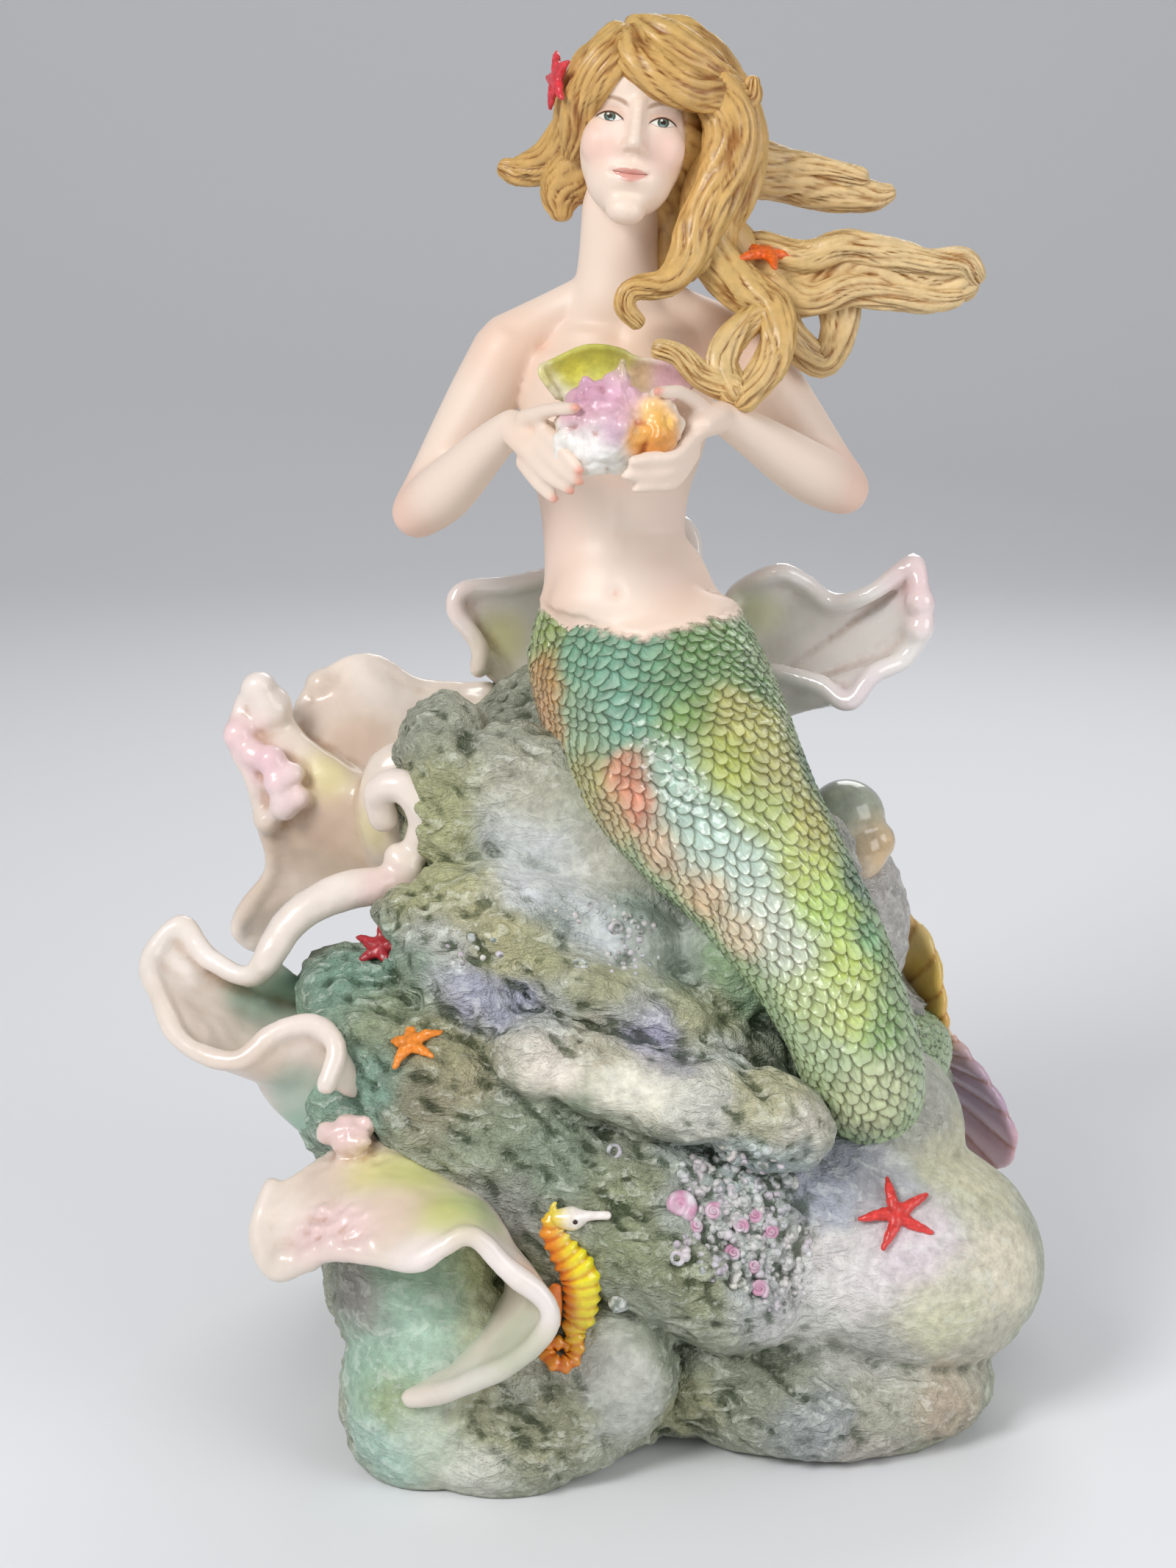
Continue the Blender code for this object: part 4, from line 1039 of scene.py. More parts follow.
# How far each place lies below the line where the painter's scales begin.
lay_mask(tail, "painted", waist_at(places) - places[:, 2])
# The bluish white patches down the middle of the bend are partly a painted highlight.
TAIL_STAINS = (
    (850, 895, 12, 116, 184, 160), (790, 880, 8, 110, 180, 150), (745, 858, 7, 140, 165, 86),
    (736, 925, 8, 224, 168, 84), (740, 960, 7, 226, 160, 92), (750, 1000, 7, 224, 178, 128),
    (960, 880, 9, 96, 156, 88), (985, 850, 7, 104, 160, 84), (900, 930, 10, 96, 160, 110),
    (930, 970, 8, 126, 168, 82), (850, 960, 11, 120, 186, 166), (800, 990, 9, 150, 184, 150),
    (1010, 975, 9, 200, 198, 112), (1060, 1040, 9, 190, 188, 112), (985, 1035, 9, 190, 202, 84),
    (1030, 930, 6, 96, 146, 84), (850, 1060, 7, 236, 148, 118), (868, 1095, 6, 236, 140, 112),
    (800, 1060, 8, 186, 176, 110), (830, 1105, 7, 200, 172, 120), (920, 1050, 9, 160, 196, 180),
    (930, 1110, 9, 176, 208, 196), (960, 1150, 9, 192, 220, 208), (900, 1150, 7, 228, 186, 150),
    (960, 1210, 7, 226, 190, 150), (1020, 1180, 9, 200, 224, 214), (1050, 1120, 8, 188, 206, 120),
    (1100, 1120, 7, 192, 186, 96), (1090, 1180, 8, 196, 212, 96), (1040, 1240, 8, 210, 220, 206),
    (1010, 1270, 6, 232, 208, 176), (1120, 1240, 8, 172, 208, 80), (1080, 1290, 8, 206, 216, 196),
    (1150, 1310, 8, 190, 214, 86), (1110, 1350, 8, 190, 208, 140), (1150, 1390, 8, 188, 206, 110),
    (1120, 1430, 8, 184, 208, 160), (1180, 1280, 5, 110, 170, 120), (1170, 1200, 5, 80, 128, 96),
    (1100, 1050, 5, 92, 136, 96), (1200, 1400, 6, 120, 166, 84), (1100, 1480, 10, 170, 190, 140),
    (1180, 1500, 10, 190, 200, 150),
)
stains = spots_on(tail, TAIL_STAINS)
lay_paint(tail, washes(places, (150, 180, 130), stains, 0.05, 1.6))


def build_fish_scales():
    """The pattern of overlapping scales: a painted shadow line under each scale's edge, and how far each has
    risen.
    """
    tree, given, result = new_group(
        "fish scales",
        (
            ("Along", "NodeSocketFloat", 0.0),
            ("Across", "NodeSocketFloat", 0.0),
            ("Row", "NodeSocketFloat", 3.5),
            ("Width", "NodeSocketFloat", 5.2),
        ),
        (("Edge Shadow", "NodeSocketFloat"), ("Rise", "NodeSocketFloat")),
    )

    math_of = math_in(tree)
    rows = math_of("DIVIDE", given.outputs["Along"], given.outputs["Row"])
    row = math_of("FLOOR", rows)
    part = math_of("SUBTRACT", rows, row)
    columns = math_of("DIVIDE", given.outputs["Across"], given.outputs["Width"])
    crest = []
    for shift in (0.0, 1.0):
        stagger = math_of("MULTIPLY", math_of("ADD", row, shift), 0.5)
        aside = math_of("MULTIPLY_ADD", math_of("FRACT", math_of("ADD", columns, stagger)), 2.0, -1.0)
        square = math_of("SUBTRACT", 1.0, math_of("MULTIPLY", aside, aside))
        crest.append(math_of("MULTIPLY", math_of("SQRT", math_of("MAXIMUM", square, 0.0)), 0.95))
    under = math_of("GREATER_THAN", part, crest[0])
    past = math_of("SUBTRACT", part, crest[0])
    before = math_of("SUBTRACT", math_of("ADD", part, 1.0), crest[1])
    start = add_node(tree, "ShaderNodeMix", {0: under, 2: before, 3: past}).outputs[0]
    span_past = math_of("SUBTRACT", math_of("ADD", crest[1], 1.0), crest[0])
    span_before = math_of("SUBTRACT", math_of("ADD", crest[0], 1.0), crest[1])
    span = add_node(tree, "ShaderNodeMix", {0: under, 2: span_before, 3: span_past}).outputs[0]
    edge_shadow = ranged(tree, start, 0.02, 0.44, 1.0, 0.0, "SMOOTHSTEP")
    feed(tree, result, {"Edge Shadow": edge_shadow, "Rise": math_of("DIVIDE", start, span)})
    return tree


tail_material, tree, shader = new_material("tail paint")
place = place_in(tree)
scaled = stored(tree, "scaled")
math_of = math_in(tree)
inputs = {"Along": stored(tree, "along"), "Across": stored(tree, "across")}
pattern = add_group(tree, build_fish_scales(), {**inputs, "Row": SCALE_ROW, "Width": SCALE_WIDTH})
inputs = {"Colour": stored(tree, "paint", "Color"), "Place": place, "Patch": 170.0, "Strength": 0.34}
brushed = add_group(tree, BRUSHWORK, inputs)
rise = pattern.outputs["Rise"]
# Painted highlight: each scale is lightened toward a pale yellow-green as it rises to its edge.
lift = math_of("MULTIPLY", rise, 0.32)
crest_highlighted = blend_colours(tree, lift, brushed.outputs["Colour"], (0.78, 0.8, 0.62, 1))
# Painted shadow: a dark line under the edge of each scale, where the scale above overhangs it.
line = math_of("MULTIPLY", math_of("MULTIPLY", pattern.outputs["Edge Shadow"], scaled), 0.62)
edge_shadowed = blend_colours(tree, line, crest_highlighted, (*pigment(134, 112, 58), 1), "MULTIPLY")
ragged = math_of("MULTIPLY_ADD", noise_in(tree, place, 380.0, 4.0, 0.5), 5.0, -2.5)
edge = math_of("ADD", stored(tree, "painted"), ragged)
share = ranged(tree, edge, -1.0, 2.6, curve="SMOOTHSTEP")
coloured = blend_colours(tree, share, (*pigment(*SKIN), 1), edge_shadowed)
feed(tree, shader, {"Base Color": coloured, "Roughness": ranged(tree, share, 0.0, 1.0, 0.46, 0.26)})
feed(tree, shader, {"Coat Weight": math_of("MULTIPLY", share, 0.55), "Coat Roughness": 0.12})
height = math_of("MULTIPLY", math_of("MULTIPLY", rise, scaled), share)
raise_by(tree, shader, 1.0, 0.0019, height)
tail.data.materials.append(tail_material)
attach(tail, "root")
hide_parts("mermaid_figurine")


# The figure: body, arms and head pressed in moulds and joined, left unglazed and rubbed smooth, so the
# skin is matt ivory with a pink flush, and the face is painted with a fine brush.
FIGURE_GRAIN = 1.06
RIGHT_SHOULDER, RIGHT_ELBOW, RIGHT_WRIST = (-25, 5, 329), (-53.5, 2, 279.5), (-23, -32, 310)
LEFT_SHOULDER, LEFT_ELBOW, LEFT_WRIST = (48, 5, 330), (80, 2, 287), (40, -34, 313)
HEAD_CENTRE = (14, -2, 396)
HEAD_TURN = (math.radians(-6), math.radians(7), 0)
EYE_SIDE = 8.0


def arm(shoulder, elbow, wrist):
    shoulder, elbow, wrist = Vector(shoulder), Vector(elbow), Vector(wrist)
    upper = shoulder.lerp(elbow, 0.35)
    above = shoulder.lerp(elbow, 0.8)
    swell = elbow.lerp(wrist, 0.3) + Vector((0, -1, -1))
    slim = elbow.lerp(wrist, 0.75)
    return [
        roll(((*shoulder, 11.3), (*upper, 10.6), (*above, 8.8), (*elbow, 8.4)), sides=32),
        roll(((*elbow, 8.4), (*swell, 9.3), (*slim, 6.9), (*wrist, 5.1)), sides=32),
    ]


def finger(knuckle, joint, tip):
    pad = Vector(joint).lerp(Vector(tip), 0.6)
    return roll(((*knuckle, 2.9), (*joint, 2.35), (*pad, 2.2), (*tip, 1.8)), sides=16)


def head_lump(centre, half):
    """A lump placed in the head's own frame: right, back and up from the middle of the head."""
    bpy.ops.object.select_all(action="DESELECT")
    bpy.ops.mesh.primitive_uv_sphere_add(
        segments=32, ring_count=22, radius=MM, location=Vector(centre) * MM, scale=half
    )
    piece = bpy.context.object
    piece.matrix_world = head_frame @ piece.matrix_world
    return piece


head_frame = Matrix.Translation(Vector(HEAD_CENTRE) * MM) @ Euler(HEAD_TURN).to_matrix().to_4x4()
clay = [
    roll(
        (
            (13, 4, 243, 29, 20),
            (12, 4.2, 250, 29.5, 20.5),
            (11, 4.5, 257, 27.2, 18.8),
            (8.5, 4.8, 268, 22.8, 16.2),
            (8, 3.5, 283, 23.5, 15.8),
            (8, 1.5, 298, 27.5, 17),
            (9, 1, 314, 30, 17),
            (11, 3, 327, 28.5, 15.5),
            (10, 5, 338, 22, 12.8),
            (9.3, 4, 346, 15.2, 12.4),
            (9.3, 3.5, 356, 12.5, 11.4),
            (10.3, 2, 374, 12.1, 11.6),
        ),
        sides=64,
    ),
]
# The belly, and the top of the tail under it.
for centre, half in (
    ((11, -2, 266), (19, 12.5, 13)),
    ((11.5, -5, 259), (22, 14.5, 12)),
    ((12, -8, 252.5), (25, 15, 12)),
):
    clay.append(lump(centre, half))
clay.append(roll([(x, y, z, wide + 0.7, deep + 0.7) for x, y, z, wide, deep in TAIL[:5]], sides=64))
for side_x in (-24, 47):
    clay.append(roll(((9, 5, 350, 7.5), (0.55 * side_x + 4, 6, 341, 7.5), (side_x, 6, 331, 10.5)), sides=28))
for breast_x in (-5.5, 23.5):
    clay.append(lump((breast_x, -9.5, 306.5), (12.5, 11, 11.5)))
clay += arm(RIGHT_SHOULDER, RIGHT_ELBOW, RIGHT_WRIST)
clay += arm(LEFT_SHOULDER, LEFT_ELBOW, LEFT_WRIST)
RIGHT_PALM = ((*RIGHT_WRIST, 5), (-19, -37, 308.5, 6.6, 4.4), (-14, -43, 306.5, 7.6, 3.8))
LEFT_PALM = ((*LEFT_WRIST, 5), (36, -39, 312.5, 5, 6.6), (31, -44, 311, 4.2, 7.4))
clay += [roll(RIGHT_PALM, facing=(0.3, -1, 0.2)), roll(LEFT_PALM, facing=(-0.3, -1, 0))]
for joints in (
    ((-19, -40, 313), (-11, -51, 316.5), (-3.5, -61, 318)),
    ((-13, -45, 310), (-7.5, -55, 305.5), (-2.5, -61, 300)),
    ((-15, -44.5, 306), (-9, -54.5, 301), (-2.5, -59.5, 296.5)),
    ((-17, -43, 302.5), (-11.5, -52, 297.5), (-5, -56, 293.5)),
    ((-19, -39.5, 300), (-15, -47, 295), (-10, -51, 290.5)),
    ((33, -42, 317), (27, -51, 321.5), (20, -58, 322.5)),
    ((32, -45, 310), (26, -55, 304), (13, -62.5, 303)),
    ((31, -43, 306), (25, -54, 299.5), (11, -61.5, 298.5)),
    ((31, -41, 303), (25, -52, 295.5), (14, -59, 294.5)),
):
    clay.append(finger(*joints))
for centre, half in (
    # Skull, face, jaw, chin, cheeks and forehead.
    ((0, 6, 8), (18.5, 22, 21)),
    ((0, -6, -5), (16, 15, 21)),
    ((0, -9, -14), (13.5, 12, 13)),
    ((0, -15.5, -25), (6.2, 5.6, 4.6)),
    ((9, -12.5, -6), (6.8, 6, 7.5)),
    ((-9, -12.5, -6), (6.8, 6, 7.5)),
    ((0, -9, 12), (14.5, 11, 11)),
):
    clay.append(head_lump(centre, half))
for rows in (
    # The bridge and tip of the nose, then its wings.
    ((0, -17, 8, 2.6), (0, -20.5, 3, 2.1), (0, -23.2, -2.5, 2.2), (0, -25, -6.2, 2.5)),
    ((2.4, -21.8, -7.2, 1.7), (3.0, -20.6, -7.4, 1.5)),
    ((-2.4, -21.8, -7.2, 1.7), (-3.0, -20.6, -7.4, 1.5)),
):
    part = roll(rows, sides=16)
    part.matrix_world = head_frame
    clay.append(part)
figure = skinned(joined(clay, "figure"), FIGURE_GRAIN, 8)

# The belly is rubbed smooth down on to the tail, and cut back where the scales cover it.
places, normals = points_of(figure)
hips = figure.vertex_groups.new(name="hips")
rubbed = np.clip(1.6 * near(places, (12, -6, 259), (60, 40, 14)), 0, 1)
for number in np.flatnonzero(rubbed > 0.05):
    hips.add([int(number)], float(rubbed[number]), "REPLACE")
rub = figure.modifiers.new("rub", "SMOOTH")
rub.iterations = 70
rub.vertex_group = "hips"
bpy.context.view_layer.objects.active = figure
bpy.ops.object.modifier_apply(modifier=rub.name)
places, normals = points_of(figure)
covered = 1.2 * np.clip((waist_at(places) + 2.2 - places[:, 2]) / 2.0, 0, 1)
set_points(figure, places - normals * covered[:, None])

# The face is cut finer than the rest before it is tooled.
places, normals = points_of(figure)
into_head = np.array(head_frame.inverted())


def in_head(places):
    return places @ into_head[:3, :3].T + into_head[:3, 3] / MM


local = in_head(places)
facial = (np.abs(local[:, 0]) < 15) & (local[:, 1] < -8) & (local[:, 2] > -27) & (local[:, 2] < 14)
bpy.ops.object.select_all(action="DESELECT")
figure.select_set(True)
bpy.context.view_layer.objects.active = figure
bpy.ops.object.mode_set(mode="EDIT")
bpy.ops.mesh.select_mode(type="FACE")
bpy.ops.mesh.select_all(action="DESELECT")
bpy.ops.object.mode_set(mode="OBJECT")
chosen = facial[np.array([polygon.vertices[:] for polygon in figure.data.polygons])].all(axis=1)
figure.data.polygons.foreach_set("select", chosen)
bpy.ops.object.mode_set(mode="EDIT")
bpy.ops.mesh.subdivide(number_cuts=2, smoothness=0.8)
bpy.ops.object.mode_set(mode="OBJECT")
places, normals = points_of(figure)
local = in_head(places)
front = np.clip((-local[:, 1] - 6) / 8, 0, 1)
mirrored = local.copy()
mirrored[:, 0] = np.abs(mirrored[:, 0])


def touch(centre, half):
    """1 at a place in the head's frame, the same on both sides of the face, fading over half sizes."""
    flat = (mirrored - np.array(centre, float)) / np.array(half, float)
    return np.exp(-1.3 * (flat[:, 0] ** 2 + flat[:, 2] ** 2)) * front


tooling = (
    -2.3 * touch((7.6, 0, 2.0), (5.2, 0, 3.4))
    + 2.4 * touch((8.0, 0, 1.1), (3.9, 0, 2.3))
    + 0.5 * touch((8.3, 0, 6.4), (6.5, 0, 1.6))
    - 0.35 * touch((8.0, 0, 3.7), (4.4, 0, 0.6))
    + 1.1 * touch((0, 0, -13.2), (3.8, 0, 1.3))
    + 1.35 * touch((0, 0, -16.8), (3.4, 0, 1.4))
    - 0.8 * touch((0, 0, -14.7), (5.0, 0, 0.45))
    - 0.7 * touch((5.4, 0, -14.6), (1.3, 0, 1.1))
    - 0.35 * touch((0, 0, -10.6), (0.8, 0, 1.5))
    - 0.7 * touch((0, 0, -20.0), (5.0, 0, 1.4))
    - 0.6 * touch((1.5, 0, -8.6), (0.7, 0, 0.5))
    - 0.5 * touch((3.9, 0, -6.2), (0.8, 0, 1.4))
)
forward = np.array(head_frame)[:3, :3] @ np.array((0, -1.0, 0))
places += forward * tooling[:, None]
# Navel, collar bones, the hollow of the throat and the line down the belly.
for centre, half, depth in (
    ((8.7, -20, 257.5), (2.6, 8, 2.6), -1.9),
    ((8.7, -21, 255.5), (1.6, 6, 1.2), 0.4),
    ((9, -12, 335), (3.5, 8, 4), -1.4),
    ((-4, -10, 336), (11, 8, 2.2), 0.9),
    ((24, -10, 336), (11, 8, 2.2), 0.9),
    ((8.5, -14, 275), (2.2, 8, 22), -0.5),
    ((9, -16, 307), (3, 8, 14), -1.3),
    ((-5, -18.5, 303.5), (2.2, 4, 2.2), 0.7),
    ((24, -18.5, 303.5), (2.2, 4, 2.2), 0.7),
):
    places += normals * (depth * near(places, centre, half))[:, None]
set_points(figure, places)
places, normals = points_of(figure)
BLUSH = (234, 190, 170)
stains = [
    (RIGHT_ELBOW, (11, 11, 11), BLUSH),
    (LEFT_ELBOW, (11, 11, 11), BLUSH),
    ((-24, -4, 332), (14, 12, 10), (236, 202, 180)),
    ((47, -4, 333), (14, 12, 10), (236, 202, 180)),
    ((-6, -20, 303), (7, 6, 6), (234, 200, 184)),
    ((25, -20, 303), (7, 6, 6), (234, 200, 184)),
    ((9, -14, 300), (7, 6, 12), (234, 204, 186)),
    ((9, -16, 334), (26, 8, 10), (232, 200, 174)),
    ((-8, -8, 268), (7, 12, 18), (234, 208, 194)),
    ((24, -8, 268), (7, 12, 18), (228, 208, 198)),
    ((9, -14, 268), (9, 10, 18), (240, 224, 212)),
    ((-12, -10, 252), (8, 14, 6), (236, 204, 182)),
    ((28, -10, 254), (8, 14, 6), (234, 204, 186)),
    ((-18, -40, 307), (6, 6, 6), (238, 212, 192)),
    ((34, -40, 308), (8, 8, 8), (238, 212, 194)),
    ((9, -14, 240), (40, 30, 8), SKIN),
]
for tip in (
    (-3, -62, 318.5),
    (-2, -62.5, 299.5),
    (-2, -61, 296),
    (-4.5, -57.5, 293),
    (-9, -52.5, 290),
    (20, -59.5, 323),
):
    stains.append((tip, (1.8, 1.8, 1.8), (228, 140, 116)))
for cheek in ((10, -18, -7), (-10, -18, -7)):
    stains.append((head_frame @ (Vector(cheek) * MM) / MM, (6.5, 6.5, 5.5), (237, 196, 180)))
lay_paint(figure, washes(places, (239, 218, 201), stains, 0.28))
lay_mask(figure, "hollow", 0.45 * dents(figure))


def build_brush_face():
    """The painted face, from a place in the head's frame: eyes, brows and lips over the skin colour."""
    tree, given, result = new_group(
        "brush face",
        (("Place", "NodeSocketVector", None), ("Skin", "NodeSocketColor", None)),
        (("Colour", "NodeSocketColor"), ("Wet", "NodeSocketFloat")),
    )

    math_of = math_in(tree)

    def less(first, second):
        return math_of("SUBTRACT", first, second)

    def size_of(value):
        return math_of("ABSOLUTE", value)

    def square(value):
        return math_of("POWER", value, 2.0)

    def inside(value, soft=0.12):
        """1 where the value is above zero, with a soft edge in millimetres."""
        return ranged(tree, value, -soft, soft)

    def all_of(*shares):
        share = shares[0]
        for other in shares[1:]:
            share = math_of("MULTIPLY", share, other)
        return share

    parts = add_node(tree, "ShaderNodeSeparateXYZ", {0: given.outputs["Place"]})
    side, back, up = parts.outputs
    on_front = inside(less(-9.0, back), 1.0)
    colour = given.outputs["Skin"]

    def paint(share, red, green, blue):
        nonlocal colour
        colour = blend_colours(tree, share, colour, (*pigment(red, green, blue), 1))

    # The eyes: out is how far from the middle of its eye a place lies, and level how far above it.
    out = less(size_of(side), EYE_SIDE)
    level = less(up, math_of("MULTIPLY_ADD", out, 0.07, 1.1))
    bow = less(1.0, square(math_of("DIVIDE", size_of(out), 3.9)))
    upper = math_of("MULTIPLY", bow, 1.75)
    lower = math_of("MULTIPLY", bow, -1.2)
    eye = all_of(inside(less(upper, level)), inside(less(level, lower)), on_front)
    shadow = less(1.7, size_of(less(level, math_of("ADD", upper, 1.0))))
    lid = inside(math_of("MULTIPLY_ADD", bow, 1.0, 0.4), 0.5)
    paint(all_of(inside(shadow, 1.2), lid, on_front, 0.35), 196, 140, 116)
    paint(eye, 238, 236, 228)
    from_iris = math_of("SQRT", math_of("ADD", square(out), square(less(level, 0.3))))
    paint(all_of(inside(less(1.62, from_iris)), eye), 84, 122, 112)
    paint(all_of(inside(less(0.25, size_of(less(from_iris, 1.5)))), eye), 48, 62, 60)
    paint(all_of(inside(less(0.8, from_iris)), eye), 22, 22, 26)
    glint_side = less(less(side, math_of("MULTIPLY", math_of("SIGN", side), EYE_SIDE)), -0.55)
    glint = math_of("SQRT", math_of("ADD", square(glint_side), square(less(level, 0.95))))
    paint(all_of(inside(less(0.36, glint)), eye), 250, 250, 250)
    # The lashes and brows.
    lash = less(0.34, size_of(less(level, upper)))
    paint(all_of(inside(lash, 0.15), inside(less(4.2, size_of(out)), 0.3), on_front), 74, 48, 34)
    low_lash = less(0.12, size_of(less(level, lower)))
    paint(all_of(inside(low_lash, 0.15), inside(less(3.7, size_of(out)), 0.3), on_front, 0.6), 150, 100, 76)
    brow_line = less(7.0, math_of("MULTIPLY", square(less(out, 0.8)), 0.055))
    brow_half = math_of("MULTIPLY_ADD", size_of(math_of("ADD", out, 4.0)), -0.055, 0.75)
    brow = less(brow_half, size_of(less(up, brow_line)))
    brow_ends = inside(less(5.6, size_of(less(out, 0.6))), 0.8)
    paint(all_of(inside(brow, 0.35), brow_ends, on_front, 0.7), 150, 108, 72)
    # The mouth: the line between the lips, and a lip on each side of it.
    wide = size_of(side)
    mouth = math_of("MULTIPLY_ADD", square(math_of("DIVIDE", wide, 5.2)), 0.45, -14.75)
    lip_bow = less(1.0, square(math_of("DIVIDE", wide, 5.3)))
    dip = math_of("MULTIPLY", math_of("EXPONENT", math_of("MULTIPLY", square(wide), -1.0)), -0.45)
    top_lip = math_of("ADD", math_of("MULTIPLY_ADD", lip_bow, 1.75, mouth), dip)
    low_lip = less(mouth, math_of("MULTIPLY", lip_bow, 2.5))
    lip_ends = inside(lip_bow, 0.1)
    lips = all_of(inside(less(top_lip, up), 0.25), inside(less(up, low_lip), 0.3), lip_ends, on_front)
    paint(all_of(lips, 0.7), 214, 128, 114)
    line = less(0.16, size_of(less(up, mouth)))
    paint(all_of(inside(line, 0.15), lip_ends, on_front, 0.8), 140, 58, 52)
    feed(tree, result, {"Colour": colour, "Wet": math_of("MAXIMUM", eye, all_of(lips, 0.6))})
    return tree


skin_material, tree, shader = new_material("bisque skin")
place = place_in(tree)
inputs = {
    "Colour": stored(tree, "paint", "Color"),
    "Place": place,
    "Hollow": stored(tree, "hollow"),
    "Darker Colour": (*pigment(232, 190, 170), 1),
    "Low": 0.05,
    "High": 1.0,
    "Break": 0.06,
}
darkened = add_group(tree, HOLLOW_DARKENING, inputs)
inputs = {"Vector": place, "Location": Vector(HEAD_CENTRE) * MM, "Rotation": HEAD_TURN, "Scale": (MM,) * 3}
to_head = add_node(tree, "ShaderNodeMapping", inputs, vector_type="TEXTURE")
inputs = {"Place": to_head.outputs[0], "Skin": darkened.outputs["Colour"]}
face = add_group(tree, build_brush_face(), inputs)
feed(tree, shader, {"Base Color": face.outputs["Colour"], "Coat Weight": face.outputs["Wet"]})
shader.inputs["Roughness"].default_value = 0.46
figure.data.materials.append(skin_material)
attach(figure, "root")
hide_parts("mermaid_figurine")


# The hair. A cap of clay with locks laid over it, each combed into strands with a tool while soft, and
# painted golden brown, made darker brown in the furrows. The wind carries it to the figure's left.
def strands(count, depth, seed=0.0):
    """Combed furrows that run along a lock, waver, and part and meet again like real strands."""

    def relief(along, angle, radius):
        turn = angle + 0.45 * np.sin(along / 7 + seed)
        ring = count / 3.4
        spread = np.column_stack((ring * np.cos(turn), ring * np.sin(turn), along / 20 + 4 * seed))
        broad = np.abs(lumpy(spread, 1.0, seed))
        spread[:, :2] *= 2.1
        fine = np.abs(lumpy(spread, 1.0, seed + 7))
        ridge = np.minimum(broad / 0.3, 1) ** 0.55
        wisp = np.minimum(fine / 0.22, 1) ** 0.6
        return depth * (ridge - 0.55) + 0.34 * depth * (wisp - 0.5), 1.0 - 0.95 * ridge + 0.45 * (1 - wisp)

    return relief


